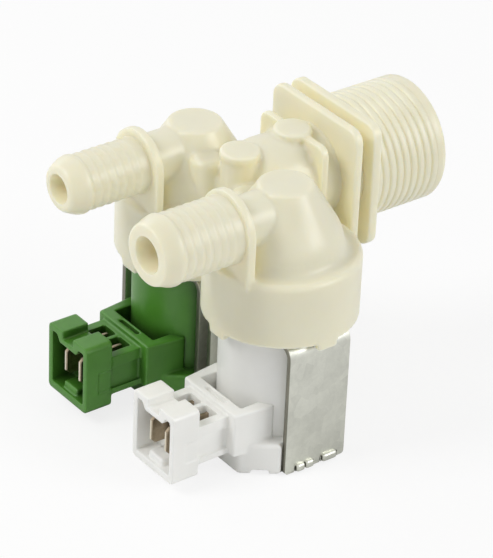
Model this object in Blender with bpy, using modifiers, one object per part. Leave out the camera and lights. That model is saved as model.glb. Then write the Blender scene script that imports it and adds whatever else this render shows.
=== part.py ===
"""Washing machine inlet valve with two electrically opened ways.

One nylon moulding carries the threaded inlet, the pair of panel plates, two
diaphragm chambers with their outlet towers, and the two hose spouts. Under each
chamber hangs a coil in its steel yoke, around the guide tube of a sprung plunger.

Units are metres and +Z is up. Inside the script a point is written from the coil
row: x from the middle of the row, y from the coil axes with +y towards the inlet
thread, z from the face that the yokes stand on. The empty named valve_origin
then brings the middle of the whole footprint to the origin.
"""

import math
from dataclasses import dataclass

import bmesh
import bpy
from mathutils import Matrix, Vector

MM = 0.001

# Fits
GAP = 0.3 * MM              # clearance of faces that touch on the real valve
PASS_GAP = 0.35 * MM        # radial clearance of what slides or slips over a tube
OVERCUT = 1.0 * MM          # how far a cutter runs past the face it opens
BURY = 1.0 * MM             # how far a moulded form runs into the one that carries it

# Coil row
ROW_GAP = 2.9 * MM          # between the two yokes
CUP_STEP_COUNT = 36         # segments round the cups and the inlet
ROUND_STEP_COUNT = 26       # round spouts and smaller forms
HIDDEN_STEP_COUNT = 18      # round what is seen only when it is taken apart

# Yoke: a U strip closed below by a plate whose tenons are staked in the legs
LEG_CLEAR = 0.35 * MM        # between the coil case and each leg
YOKE_DEPTH = 15.0 * MM
YOKE_HEIGHT = 30.0 * MM
YOKE_SHEET = 1.2 * MM
YOKE_BEND = 3.0 * MM
TENON_FRONT = (-4.8 * MM, -0.5 * MM)
TENON_REAR = (1.6 * MM, 5.4 * MM)
TENON_STAKE = 0.45 * MM
STAKE_SPLIT = 0.5 * MM

# Coil
WINDING_DEPTH = 2.95 * MM
CASE_WALL = 1.2 * MM
CASE_END_WALL = 1.5 * MM
CASE_EDGE = 0.8 * MM
BORE_WALL = 0.7 * MM
BOBBIN_FLANGE = 0.8 * MM
SLEEVE_WALL = 0.9 * MM
SLEEVE_UPPER_LENGTH = 8.0 * MM
SLEEVE_LOWER_LENGTH = 7.0 * MM

# Coil base: the skirt that reaches round the front corners of the yoke
BASE_HEIGHT = 7.2 * MM
BASE_FRONT_REACH = 3.0 * MM  # in front of the round case
BASE_FRONT_HALF = 7.9 * MM
BASE_SIDE_INSET = 0.45 * MM  # inside the outer faces of the legs
BASE_REAR_REACH = 1.5 * MM   # behind the legs
BASE_SCALLOP_WIDTH = 3.7 * MM
BASE_SCALLOP_HEIGHT = 1.1 * MM

# Connector of the coil, measured back from its front rim
PLUG_FRONT = 30.5 * MM
HEAD_DEPTH = 6.4 * MM
HEAD_HALF = 6.9 * MM
HEAD_BOTTOM = 3.0 * MM
HEAD_TOP = 18.2 * MM
HEAD_EDGE = 0.8 * MM
SOCKET_SIDE_WALL = 1.4 * MM
SOCKET_FLOOR = 1.7 * MM
SOCKET_ROOF = 1.6 * MM
ROOF_KEY_HALF = 3.1 * MM     # the roof hangs lower here, under the key slot
ROOF_KEY_SLANT = 0.8 * MM
ROOF_KEY_DROP = 1.5 * MM
SOCKET_BACK = 1.2 * MM
KEY_SLOT_WIDTH = 3.2 * MM
KEY_SLOT_DEPTH = 1.4 * MM
KEY_RIB_WIDTH = 4.6 * MM
KEY_RIB_HEIGHT = 1.1 * MM
NECK_HALF = 5.9 * MM
NECK_BOTTOM = 5.0 * MM
NECK_TOP = 13.9 * MM
NECK_WALL = 1.3 * MM
NECK_FLOOR = 2.0 * MM
NECK_LEDGE_HEIGHT = 2.5 * MM
NECK_FOOT_HEIGHT = 1.4 * MM
NECK_RIM = 1.3 * MM
NECK_LEDGE_REACH = 0.7 * MM
NECK_DIVIDER = 1.0 * MM
ROOT_FRONT = 16.8 * MM
ROOT_HALF = 8.6 * MM
ROOT_FLARE = 1.1 * MM
ROOT_TOP = 14.9 * MM
ROOT_WALL = 1.8 * MM
ROOT_BAR = 2.8 * MM
ROOT_SLOT_LENGTH = 6.5 * MM
ROOT_SLOT_WIDTH = 0.9 * MM
ROOT_SLOT_DEPTH = 1.2 * MM

# Terminals
TAB_PITCH = 5.0 * MM
TAB_HEIGHT = 6.3 * MM
TAB_SHEET = 0.8 * MM
TAB_RECESS = 1.3 * MM
TAB_CHAMFER = 0.8 * MM
TAB_CENTRE_Z = 10.2 * MM
TAIL_HEIGHT = 2.5 * MM
POST_WIDTH = 2.6 * MM
POST_FROM_FRONT = 11.6 * MM
POST_TOP = 13.4 * MM

# Body moulding: cups and towers
CUP_RADIUS = 15.9 * MM
CUP_BOTTOM = YOKE_HEIGHT + GAP
CUP_SHOULDER = CUP_BOTTOM + 14.2 * MM
CUP_EDGE = 1.3 * MM
TOWER_TOP = CUP_SHOULDER + 14.3 * MM
TOWER_CAP_RADIUS = 5.55 * MM
TOWER_TAPER = 0.61
TOWER_TAPER_LENGTH = 9.0 * MM
TOWER_BASE_RADIUS = CUP_RADIUS - 3.8 * MM
LUG_WIDTH = 4.6 * MM
LUG_DROP = 1.5 * MM
LUG_THICKNESS = 1.9 * MM

# Body moulding: diaphragm chamber
MOUTH_RADIUS = 13.4 * MM
MOUTH_TOP = CUP_BOTTOM + 6.7 * MM
CHAMBER_RADIUS = 11.9 * MM
CHAMBER_TOP = CUP_SHOULDER - 2.0 * MM
SEAT_OUTER = 6.0 * MM
SEAT_BORE = 4.4 * MM
SEAT_FACE = MOUTH_TOP + 0.6 * MM
TOWER_BORE = 3.9 * MM
TOWER_ROOF = 3.3 * MM

# Body moulding: spouts
SPOUT_Z = CUP_SHOULDER + 8.5 * MM
WHITE_SPOUT_TIP = 33.1 * MM
WHITE_BARB_RADIUS = 7.35 * MM
WHITE_COLLAR_RADIUS = 8.0 * MM
GREEN_SPOUT_TIP = 32.4 * MM
GREEN_BARB_RADIUS = 6.1 * MM
GREEN_COLLAR_RADIUS = 7.6 * MM
SPOUT_BORE = 3.6 * MM
NOSE_RISE = 1.2 * MM         # from the flat of the tip out to the barb
NOSE_EDGE = 0.4 * MM
NOSE_LENGTH = 2.7 * MM
BARB_LAND = 1.2 * MM
BARB_STEP = 0.5 * MM
RIDGE_COUNT = 7
RIDGE_PITCH = 1.93 * MM
RIDGE_HEIGHT = 0.3 * MM
COLLAR_BACK = 12.7 * MM
COLLAR_THICKNESS = 2.0 * MM
COLLAR_BOTTOM = CUP_SHOULDER - 1.7 * MM
ELBOW_RADIUS = 5.45 * MM
ELBOW_END = 2.0 * MM
ELBOW_EDGE = 1.4 * MM

# Body moulding: manifold between the towers
TRUNK_Z = SPOUT_Z - 3.6 * MM
TRUNK_RADIUS = 9.7 * MM
TRUNK_START = 3.4 * MM
BRIDGE_HALF = 10.0 * MM
BRIDGE_FRONT = 4.6 * MM
BRIDGE_BACK = 7.0 * MM
BRIDGE_TOP = TRUNK_Z + 5.8 * MM
BRIDGE_BOTTOM = CUP_BOTTOM + 3.7 * MM
BRIDGE_EDGE = 2.4 * MM
FRONT_BOSS_RADIUS = 4.2 * MM
REAR_BOSS_RADIUS = 3.9 * MM
BOSS_EDGE = 0.5 * MM
BOSS_HEAD = 1.5 * MM         # height of the boss's full radius above its stem
BOSS_STEM_INSET = 0.4 * MM
FRONT_BOSS_TOP = TRUNK_Z + 9.85 * MM
REAR_BOSS_TOP = TRUNK_Z + 10.5 * MM
RIB_PLATE_Y = 12.8 * MM
RIB_PLATE_THICKNESS = 1.7 * MM
RIB_PLATE_HALF = 10.15 * MM
RIB_PLATE_CORNER = 2.0 * MM

# Body moulding: panel plates and inlet thread
PLATE_HALF = 13.86 * MM
PLATE_CORNER = 3.0 * MM
PLATE_EDGE = 0.4 * MM
NEAR_PLATE_Y = 18.4 * MM
NEAR_PLATE_THICKNESS = 2.0 * MM
PANEL_SLOT = 2.6 * MM
FAR_PLATE_THICKNESS = 2.1 * MM
SLOT_NECK_RADIUS = 11.3 * MM
THREAD_RADIUS = 13.22 * MM
THREAD_CHAMFER = 0.6 * MM
THREAD_PITCH = 1.814 * MM
THREAD_DEPTH = 0.75 * MM
THREAD_LEAD = 2.4 * MM       # plain end in front of the first crest
INLET_END = 43.3 * MM
INLET_BORE = 10.4 * MM
FILTER_SHELF = 24.6 * MM
REGULATOR_BORE = 8.2 * MM
REGULATOR_SHELF = 17.0 * MM
FEED_BORE = 5.0 * MM
FEED_END = 4.6 * MM
GALLERY_HALF = 7.2 * MM
GALLERY_FRONT = 1.5 * MM
GALLERY_BACK = 8.5 * MM
GALLERY_BOTTOM = CHAMBER_TOP - 4.2 * MM
GALLERY_TOP = TRUNK_Z - 3.4 * MM

# Guide tube and plunger
TUBE_BORE = 4.35 * MM
TUBE_WALL = 0.75 * MM
TUBE_BOTTOM = 6.8 * MM
TUBE_END_WALL = 1.2 * MM
TUBE_FLANGE_FLOOR = 1.4 * MM
TUBE_RIM_TOP = MOUTH_TOP - 2.3 * MM
TUBE_DISH_RADIUS = 11.1 * MM
PLUNGER_RADIUS = 4.0 * MM
PLUNGER_TRAVEL = 2.5 * MM
PLUNGER_STOP_GAP = 0.4 * MM
PLUNGER_TOP = CUP_BOTTOM + 2.6 * MM
PLUNGER_SPRING_BORE = 2.4 * MM
PLUNGER_SPRING_DEPTH = 11.0 * MM
PLUNGER_FLUTE = 1.0 * MM
SEAL_RADIUS = 2.4 * MM
SEAL_DEPTH = 2.0 * MM
SEAL_PROUD = 0.6 * MM
SPRING_WIRE = 0.3 * MM
SPRING_RADIUS = 1.7 * MM
SPRING_TURNS = 6
SPRING_POINTS = 8

# Diaphragm and its moulded seat insert
BEAD_INNER = 11.6 * MM
BEAD_CORNER = 0.3 * MM
WEB_SHEET = 0.8 * MM
HUB_RADIUS = 7.2 * MM
HUB_SHEET = 1.6 * MM
INSERT_STEM = 3.7 * MM
INSERT_DISC_RADIUS = 6.8 * MM
INSERT_DISC_SHEET = 1.1 * MM
INSERT_STEM_RISE = 2.6 * MM
INSERT_TIP_TAPER = 0.8 * MM
PILOT_BORE = 0.5 * MM
PILOT_NOZZLE = 1.2 * MM

# Inlet filter and flow regulator
FILTER_FLANGE = 1.2 * MM
FILTER_MOUTH_RADIUS = 8.6 * MM
FILTER_TIP_RADIUS = 5.0 * MM
FILTER_WALL = 0.9 * MM
FILTER_LENGTH = 13.0 * MM
FILTER_TIP_LENGTH = 2.2 * MM
FILTER_COLLAR_LENGTH = 1.2 * MM
FILTER_SLOTS = 10
FILTER_SLOT_WIDTH = 1.9 * MM
FILTER_RECESS = 2.0 * MM
CARRIER_THICKNESS = 3.0 * MM
CARRIER_HOLES = 6
CARRIER_HOLE_RADIUS = 1.1 * MM
WASHER_OUTER = 6.6 * MM
WASHER_INNER = 2.6 * MM
WASHER_THICKNESS = 2.6 * MM

# Values that follow from the ones above
TUBE_OUTER = TUBE_BORE + TUBE_WALL
SLEEVE_INNER = TUBE_OUTER + PASS_GAP
SLEEVE_OUTER = SLEEVE_INNER + SLEEVE_WALL
BOBBIN_INNER = SLEEVE_OUTER + GAP
BOBBIN_OUTER = BOBBIN_INNER + BORE_WALL
CASE_BORE = BOBBIN_OUTER + GAP
CASE_CAVITY = CASE_BORE + WINDING_DEPTH + GAP
CASE_RADIUS = CASE_CAVITY + CASE_WALL
LEG_INNER = CASE_RADIUS + LEG_CLEAR
LEG_OUTER = LEG_INNER + YOKE_SHEET
COIL_PITCH = 2 * LEG_OUTER + ROW_GAP
LEG_FACE = YOKE_DEPTH / 2 + GAP
BASE_FRONT = CASE_RADIUS + BASE_FRONT_REACH
BASE_SIDE_HALF = LEG_OUTER - BASE_SIDE_INSET
BASE_REAR = YOKE_DEPTH / 2 + BASE_REAR_REACH
CASE_BOTTOM = YOKE_SHEET + GAP
CASE_TOP = YOKE_HEIGHT - YOKE_SHEET - GAP
TAB_TIP = PLUG_FRONT - TAB_RECESS
HEAD_BACK = PLUG_FRONT - HEAD_DEPTH
SOCKET_END = HEAD_BACK + SOCKET_BACK
RIM_PLATE_FRONT = COLLAR_BACK + COLLAR_THICKNESS
FAR_PLATE_Y = NEAR_PLATE_Y + NEAR_PLATE_THICKNESS + PANEL_SLOT
THREAD_START = FAR_PLATE_Y + FAR_PLATE_THICKNESS
FLANGE_RADIUS = MOUTH_RADIUS - GAP
FLANGE_BOTTOM = CUP_BOTTOM + GAP
PLUNGER_BOTTOM = TUBE_BOTTOM + TUBE_END_WALL + PLUNGER_TRAVEL + PLUNGER_STOP_GAP


@dataclass(frozen=True)
class Way:
    """One of the two ways: its side of the row and what differs between them."""

    name: str
    side: int
    spout_tip: float
    barb_radius: float
    collar_radius: float
    case_colour: tuple

    @property
    def axis_x(self):
        return self.side * COIL_PITCH / 2


WAYS = (
    Way("white", 1, WHITE_SPOUT_TIP, WHITE_BARB_RADIUS, WHITE_COLLAR_RADIUS, (0.82, 0.82, 0.80)),
    Way("green", -1, GREEN_SPOUT_TIP, GREEN_BARB_RADIUS, GREEN_COLLAR_RADIUS, (0.07, 0.26, 0.03)),
)


def clear_scene():
    for obj in list(bpy.data.objects):
        bpy.data.objects.remove(obj, do_unlink=True)


def new_collection(name):
    collection = bpy.data.collections.new(name)
    bpy.context.scene.collection.children.link(collection)
    return collection


def new_material(name, colour, roughness, metallic=0.0):
    material = bpy.data.materials.new(name)
    material.use_nodes = True
    shader = material.node_tree.nodes["Principled BSDF"]
    shader.inputs["Base Color"].default_value = (*colour, 1.0)
    shader.inputs["Roughness"].default_value = roughness
    shader.inputs["Metallic"].default_value = metallic
    return material


class Bench:
    """Keeps the two collections and the parent empties, and makes objects in them."""

    def __init__(self):
        self.parts = new_collection("washing_machine_inlet_valve")
        self.tools = new_collection("cutters")
        self.parent = None

    def empty(self, name, location, parent=None):
        empty = bpy.data.objects.new(name, None)
        empty.empty_display_size = 10 * MM
        empty.location = location
        empty.parent = parent
        self.parts.objects.link(empty)
        return empty

    def add(self, name, mesh, location=(0, 0, 0), rotation=(0, 0, 0)):
        """Adds a mesh as a tool: it becomes a part when finish() is called on it."""
        obj = bpy.data.objects.new(name, mesh)
        obj.location = location
        obj.rotation_euler = rotation
        obj.parent = self.parent
        self.tools.objects.link(obj)
        obj.hide_render = True
        obj.display_type = "WIRE"
        return obj

    def finish(self, obj, material):
        """Turns a tool into a part with its material."""
        self.tools.objects.unlink(obj)
        self.parts.objects.link(obj)
        obj.hide_render = False
        obj.display_type = "TEXTURED"
        obj.data.materials.clear()
        obj.data.materials.append(material)
        return obj


def box(bench, name, low, high, edge=0.0, segments=2):
    """A block between two corners, its edges rounded by edge."""
    low, high = Vector(low), Vector(high)
    bm = bmesh.new()
    bmesh.ops.create_cube(bm, size=1.0, matrix=Matrix.Diagonal((*(high - low), 1.0)))
    mesh = bpy.data.meshes.new(name)
    bm.to_mesh(mesh)
    bm.free()
    obj = bench.add(name, mesh, (low + high) / 2)
    if edge > 0:
        round_edges(obj, edge, segments)
    return obj


def round_edges(obj, width, segments=2, angle=40):
    bevel = obj.modifiers.new("edges", "BEVEL")
    bevel.width = width
    bevel.segments = segments
    bevel.limit_method = "ANGLE"
    bevel.angle_limit = math.radians(angle)


def turned(bench, name, profile, steps, location=(0, 0, 0), rotation=(0, 0, 0), closed=False):
    """Revolves a profile of (radius, height) pairs, listed down its outer side.

    An open profile starts and ends on the axis. A closed one is a ring's section.
    """
    mesh = bpy.data.meshes.new(name)
    vertices = [(radius, 0.0, height) for radius, height in profile]
    edges = [(i, i + 1) for i in range(len(profile) - 1)]
    if closed:
        edges.append((len(profile) - 1, 0))
    mesh.from_pydata(vertices, edges, [])
    obj = bench.add(name, mesh, location, rotation)
    screw = obj.modifiers.new("revolve", "SCREW")
    screw.axis = "Z"
    screw.steps = steps
    screw.render_steps = steps
    screw.use_merge_vertices = True
    screw.merge_threshold = 0.00001
    screw.use_smooth_shade = True
    return obj


def plate(bench, name, outline, thickness, location=(0, 0, 0), rotation=(0, 0, 0)):
    """Extrudes a flat outline of (x, y) points by thickness, centred on its plane."""
    curve = bpy.data.curves.new(name, "CURVE")
    curve.dimensions = "2D"
    curve.fill_mode = "BOTH"
    curve.extrude = thickness / 2
    spline = curve.splines.new("POLY")
    spline.points.add(len(outline) - 1)
    for point, (x, y) in zip(spline.points, outline):
        point.co = (x, y, 0.0, 1.0)
    spline.use_cyclic_u = True
    drawn = bpy.data.objects.new(name + "_outline", curve)
    bpy.context.scene.collection.objects.link(drawn)
    bpy.context.view_layer.update()
    evaluated = drawn.evaluated_get(bpy.context.evaluated_depsgraph_get())
    mesh = bpy.data.meshes.new_from_object(evaluated)
    mesh.name = name
    weld(mesh)
    bpy.data.objects.remove(drawn, do_unlink=True)
    return bench.add(name, mesh, location, rotation)


def weld(mesh):
    bm = bmesh.new()
    bm.from_mesh(mesh)
    bmesh.ops.remove_doubles(bm, verts=bm.verts, dist=0.000001)
    bmesh.ops.recalc_face_normals(bm, faces=bm.faces)
    bm.to_mesh(mesh)
    bm.free()


def combine(target, tools, operation):
    """Adds one exact Boolean to the target for each tool, in order."""
    for tool in tools:
        modifier = target.modifiers.new(tool.name, "BOOLEAN")
        modifier.operation = operation
        modifier.solver = "EXACT"
        modifier.object = tool
    return target


def arc(centre, radius, start, end, count):
    """Points of an arc between two angles in degrees, both ends included."""
    points = []
    for step in range(count + 1):
        angle = math.radians(start + (end - start) * step / count)
        points.append((centre[0] + radius * math.cos(angle), centre[1] + radius * math.sin(angle)))
    return points


def rounded_square(half, corner, steps=4):
    inner = half - corner
    outline = []
    for quarter, (x, y) in enumerate(((inner, inner), (-inner, inner), (-inner, -inner), (inner, -inner))):
        outline += arc((x, y), corner, 90 * quarter, 90 * quarter + 90, steps)
    return outline


# Turns a local +Z to world -Y, for spouts and connectors
TO_FRONT = (math.radians(90), 0, 0)
# Turns a local +Z to world +Y, for the inlet
TO_BACK = (math.radians(-90), 0, 0)


def cup_and_tower(bench, way):
    """One way's diaphragm cup with the tower that carries the outlet."""
    taper_end = TOWER_TOP - TOWER_TAPER_LENGTH
    taper_radius = TOWER_CAP_RADIUS + TOWER_TAPER * TOWER_TAPER_LENGTH
    lip = 0.35 * MM
    swell = TOWER_BASE_RADIUS - taper_radius
    profile = [(0.0, TOWER_TOP), (TOWER_CAP_RADIUS - lip, TOWER_TOP), (TOWER_CAP_RADIUS, TOWER_TOP - lip)]
    profile += [(taper_radius, taper_end), (taper_radius + 0.7 * swell, taper_end - 1.7 * MM)]
    profile += [(TOWER_BASE_RADIUS, taper_end - 3.5 * MM), (TOWER_BASE_RADIUS + 0.3 * MM, CUP_SHOULDER + 0.6 * MM)]
    profile += [(TOWER_BASE_RADIUS + 1.2 * MM, CUP_SHOULDER)]
    profile += arc((CUP_RADIUS - CUP_EDGE, CUP_SHOULDER - CUP_EDGE), CUP_EDGE, 90, 0, 2)
    profile += [(CUP_RADIUS, CUP_BOTTOM), (0.0, CUP_BOTTOM)]
    return turned(bench, way.name + "_cup_form", profile, CUP_STEP_COUNT, (way.axis_x, 0, 0))


def cup_lugs(bench, way):
    """Four lugs under the cup's rim that key it over the yoke."""
    ring_outer = CUP_RADIUS - 0.05 * MM
    profile = [(ring_outer, CUP_BOTTOM + BURY), (ring_outer, CUP_BOTTOM - LUG_DROP)]
    profile += [(CUP_RADIUS - LUG_THICKNESS, CUP_BOTTOM - LUG_DROP), (CUP_RADIUS - LUG_THICKNESS, CUP_BOTTOM + BURY)]
    ring = turned(bench, way.name + "_lug_form", profile, CUP_STEP_COUNT, (way.axis_x, 0, 0), closed=True)
    reach = CUP_RADIUS + OVERCUT
    half = LUG_WIDTH / 2
    low, high = CUP_BOTTOM - 2 * LUG_DROP, CUP_BOTTOM + 2 * BURY
    for index, (dx, dy) in enumerate(((1, 1), (-1, 1), (-1, -1), (1, -1))):
        corner_a = (way.axis_x + dx * half, dy * half, low)
        corner_b = (way.axis_x + dx * reach, dy * reach, high)
        lower = tuple(min(a, b) for a, b in zip(corner_a, corner_b))
        upper = tuple(max(a, b) for a, b in zip(corner_a, corner_b))
        gap = box(bench, f"{way.name}_lug_gap_{index}", lower, upper)
        combine(ring, [gap], "DIFFERENCE")
    return ring


def spout(bench, way):
    """The hose spout: cone-shaped nose up to the barb, then low ridges back to the collar."""
    tip = way.spout_tip
    barb = way.barb_radius
    land = barb - NOSE_RISE
    groove = barb - BARB_STEP
    start = tip - NOSE_LENGTH - BARB_LAND
    profile = [(0.0, tip), (land, tip), (land + NOSE_EDGE, tip - NOSE_EDGE)]
    profile += [(barb - 0.1 * MM, tip - NOSE_LENGTH), (barb, start), (groove, start - BARB_STEP)]
    for ridge in range(RIDGE_COUNT):
        crest = start - BARB_STEP - (ridge + 0.6) * RIDGE_PITCH
        profile += [(groove, crest + 0.6 * RIDGE_PITCH), (groove + RIDGE_HEIGHT, crest)]
    profile += [(groove, COLLAR_BACK), (0.0, COLLAR_BACK)]
    return turned(bench, way.name + "_spout_form", profile, ROUND_STEP_COUNT, (way.axis_x, 0, SPOUT_Z), TO_FRONT)


def elbow(bench, way):
    """The round-ended neck that leads from the tower to the spout."""
    profile = [(0.0, COLLAR_BACK + BURY), (ELBOW_RADIUS, COLLAR_BACK + BURY)]
    profile += arc((ELBOW_RADIUS - ELBOW_EDGE, ELBOW_END + ELBOW_EDGE), ELBOW_EDGE, 0, -90, 3)
    profile += [(0.0, ELBOW_END)]
    return turned(bench, way.name + "_elbow_form", profile, ROUND_STEP_COUNT, (way.axis_x, 0, SPOUT_Z), TO_FRONT)


def collar(bench, way):
    """The arched plate behind the spout, standing on the cup's shoulder."""
    radius = way.collar_radius
    outline = arc((0.0, 0.0), radius, 0, 180, 12)
    outline += [(-radius, COLLAR_BOTTOM - SPOUT_Z), (radius, COLLAR_BOTTOM - SPOUT_Z)]
    middle = -(COLLAR_BACK + COLLAR_THICKNESS / 2)
    obj = plate(bench, way.name + "_collar_form", outline, COLLAR_THICKNESS, (way.axis_x, middle, SPOUT_Z), TO_FRONT)
    round_edges(obj, 0.5 * MM, 1)
    return obj


def thread_profile():
    """Section of the inlet thread, from its end to the far plate: rings at the thread's
    pitch, as many as fit, with their crests at full size and flanks down to the root."""
    root = THREAD_RADIUS - THREAD_DEPTH
    profile = [(THREAD_RADIUS, INLET_END - THREAD_LEAD)]
    crest = INLET_END - THREAD_LEAD - THREAD_PITCH
    while crest > THREAD_START:
        profile += [(root, crest + THREAD_PITCH / 2), (THREAD_RADIUS, crest)]
        crest -= THREAD_PITCH
    return profile + [(root, THREAD_START - 0.5 * MM)]


def inlet_trunk(bench):
    """Threaded inlet, panel neck and manifold trunk, all round about one axis."""
    profile = [(0.0, INLET_END), (THREAD_RADIUS - THREAD_CHAMFER, INLET_END)]
    profile += [(THREAD_RADIUS, INLET_END - THREAD_CHAMFER)] + thread_profile()
    profile += [(SLOT_NECK_RADIUS, THREAD_START - 0.7 * MM), (SLOT_NECK_RADIUS, NEAR_PLATE_Y + 0.9 * MM)]
    profile += [(TRUNK_RADIUS + 1.2 * MM, NEAR_PLATE_Y), (TRUNK_RADIUS, NEAR_PLATE_Y - 1.2 * MM)]
    profile += arc((TRUNK_RADIUS - 2.0 * MM, TRUNK_START + 2.0 * MM), 2.0 * MM, 0, -90, 2)
    profile += [(0.0, TRUNK_START)]
    return turned(bench, "inlet_trunk_form", profile, CUP_STEP_COUNT, (0, 0, TRUNK_Z), TO_BACK)


def square_flange(bench, name, start, thickness, half, corner):
    """A square plate across the trunk, from start towards the inlet."""
    middle = start + thickness / 2
    obj = plate(bench, name, rounded_square(half, corner), thickness, (0, middle, TRUNK_Z), TO_FRONT)
    round_edges(obj, PLATE_EDGE, 1)
    return obj


def boss(bench, name, y, radius, top):
    """A round boss on top of the manifold, on a slightly thinner stem."""
    edge, stem, head = BOSS_EDGE, radius - BOSS_STEM_INSET, top - BOSS_HEAD
    profile = [(0.0, top), (radius - edge, top), (radius - 0.3 * edge, top - 0.3 * edge), (radius, top - edge)]
    profile += [(radius, head), (stem, head - BOSS_STEM_INSET), (stem, TRUNK_Z), (0.0, TRUNK_Z)]
    return turned(bench, name, profile, ROUND_STEP_COUNT, (0, y, 0))


def chamber_cutter(bench, way):
    """The cup's hollow from below, with the seat tube left standing in it and its
    bore carried up into the tower."""
    roof = TOWER_TOP - TOWER_ROOF
    sill = SPOUT_Z - SPOUT_BORE
    profile = [(0.0, roof), (TOWER_BORE - 1.2 * MM, roof), (TOWER_BORE, roof - 1.2 * MM), (TOWER_BORE, sill)]
    profile += [(SEAT_BORE, sill - 2.0 * MM), (SEAT_BORE, SEAT_FACE), (SEAT_OUTER, SEAT_FACE)]
    profile += [(SEAT_OUTER, CHAMBER_TOP), (CHAMBER_RADIUS, CHAMBER_TOP), (CHAMBER_RADIUS, MOUTH_TOP)]
    profile += [(MOUTH_RADIUS, MOUTH_TOP), (MOUTH_RADIUS, CUP_BOTTOM - OVERCUT), (0.0, CUP_BOTTOM - OVERCUT)]
    return turned(bench, way.name + "_chamber_cut", profile, ROUND_STEP_COUNT, (way.axis_x, 0, 0))


def outlet_cutter(bench, way):
    """The spout's bore, from its tip into the tower."""
    bore = [(0.0, way.spout_tip + OVERCUT), (SPOUT_BORE, way.spout_tip + OVERCUT), (SPOUT_BORE, 0.0), (0.0, 0.0)]
    return turned(bench, way.name + "_outlet_cut", bore, HIDDEN_STEP_COUNT, (way.axis_x, 0, SPOUT_Z), TO_FRONT)


def inlet_cutters(bench):
    """The stepped inlet bore and the gallery that feeds both chambers."""
    profile = [(0.0, INLET_END + OVERCUT), (INLET_BORE, INLET_END + OVERCUT), (INLET_BORE, FILTER_SHELF)]
    profile += [(REGULATOR_BORE, FILTER_SHELF), (REGULATOR_BORE, REGULATOR_SHELF)]
    profile += [(FEED_BORE, REGULATOR_SHELF), (FEED_BORE, FEED_END), (0.0, FEED_END)]
    bore = turned(bench, "inlet_bore_cut", profile, ROUND_STEP_COUNT, (0, 0, TRUNK_Z), TO_BACK)
    low = (-GALLERY_HALF, GALLERY_FRONT, GALLERY_BOTTOM)
    high = (GALLERY_HALF, GALLERY_BACK, CHAMBER_TOP - 0.4 * MM)
    gallery = box(bench, "gallery_cut", low, high)
    drop_low = (-FEED_BORE * 0.8, GALLERY_FRONT + 1.0 * MM, GALLERY_BOTTOM + 1.0 * MM)
    drop_high = (FEED_BORE * 0.8, GALLERY_BACK - 1.0 * MM, GALLERY_TOP)
    drop = box(bench, "feed_drop_cut", drop_low, drop_high)
    return [bore, gallery, drop]


def build_body(bench, material):
    """The whole nylon moulding as one solid."""
    body = inlet_trunk(bench)
    body.name = "valve_body"
    forms = [square_flange(bench, "near_plate_form", NEAR_PLATE_Y, NEAR_PLATE_THICKNESS, PLATE_HALF, PLATE_CORNER)]
    forms += [square_flange(bench, "far_plate_form", FAR_PLATE_Y, FAR_PLATE_THICKNESS, PLATE_HALF, PLATE_CORNER)]
    forms += [square_flange(bench, "rib_plate_form", RIB_PLATE_Y, RIB_PLATE_THICKNESS, RIB_PLATE_HALF, RIB_PLATE_CORNER)]
    low = (-BRIDGE_HALF, -BRIDGE_FRONT, BRIDGE_BOTTOM)
    high = (BRIDGE_HALF, BRIDGE_BACK, BRIDGE_TOP)
    forms += [box(bench, "bridge_form", low, high, BRIDGE_EDGE, 3)]
    forms += [boss(bench, "front_boss_form", 0.0, FRONT_BOSS_RADIUS, FRONT_BOSS_TOP)]
    forms += [boss(bench, "rear_boss_form", RIB_PLATE_Y + 0.2 * MM, REAR_BOSS_RADIUS, REAR_BOSS_TOP)]
    cuts = []
    for way in WAYS:
        forms += [cup_and_tower(bench, way), cup_lugs(bench, way), elbow(bench, way), collar(bench, way)]
        forms += [spout(bench, way)]
        cuts += [chamber_cutter(bench, way), outlet_cutter(bench, way)]
    cuts += inlet_cutters(bench)
    combine(body, forms, "UNION")
    combine(body, cuts, "DIFFERENCE")
    return bench.finish(body, material)


def build_yoke_frame(bench, way, material):
    """The U strip: web over the coil, bent down into two legs."""
    centre = LEG_OUTER - YOKE_BEND
    top = YOKE_HEIGHT - YOKE_BEND
    outline = [(LEG_OUTER, 0.0)] + arc((centre, top), YOKE_BEND, 0, 90, 5)
    outline += arc((-centre, top), YOKE_BEND, 90, 180, 5) + [(-LEG_OUTER, 0.0), (-LEG_INNER, 0.0)]
    inner_bend = YOKE_BEND - YOKE_SHEET
    outline += arc((-centre, top), inner_bend, 180, 90, 5) + arc((centre, top), inner_bend, 90, 0, 5)
    outline += [(LEG_INNER, 0.0)]
    frame = plate(bench, way.name + "_yoke_frame", outline, YOKE_DEPTH, (0, 0, 0), TO_FRONT)
    hole = [(0.0, YOKE_HEIGHT + OVERCUT), (TUBE_OUTER + PASS_GAP, YOKE_HEIGHT + OVERCUT)]
    hole += [(TUBE_OUTER + PASS_GAP, CASE_TOP), (0.0, CASE_TOP)]
    cuts = [turned(bench, way.name + "_web_hole_cut", hole, HIDDEN_STEP_COUNT)]
    for side in (-1, 1):
        for index, (start, end) in enumerate((TENON_FRONT, TENON_REAR)):
            reach = sorted((side * (LEG_INNER - OVERCUT), side * (LEG_OUTER + OVERCUT)))
            low = (reach[0], start - GAP, -OVERCUT)
            high = (reach[1], end + GAP, YOKE_SHEET + GAP)
            cuts.append(box(bench, f"{way.name}_notch_cut_{side}_{index}", low, high))
    combine(frame, cuts, "DIFFERENCE")
    return bench.finish(frame, material)


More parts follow.
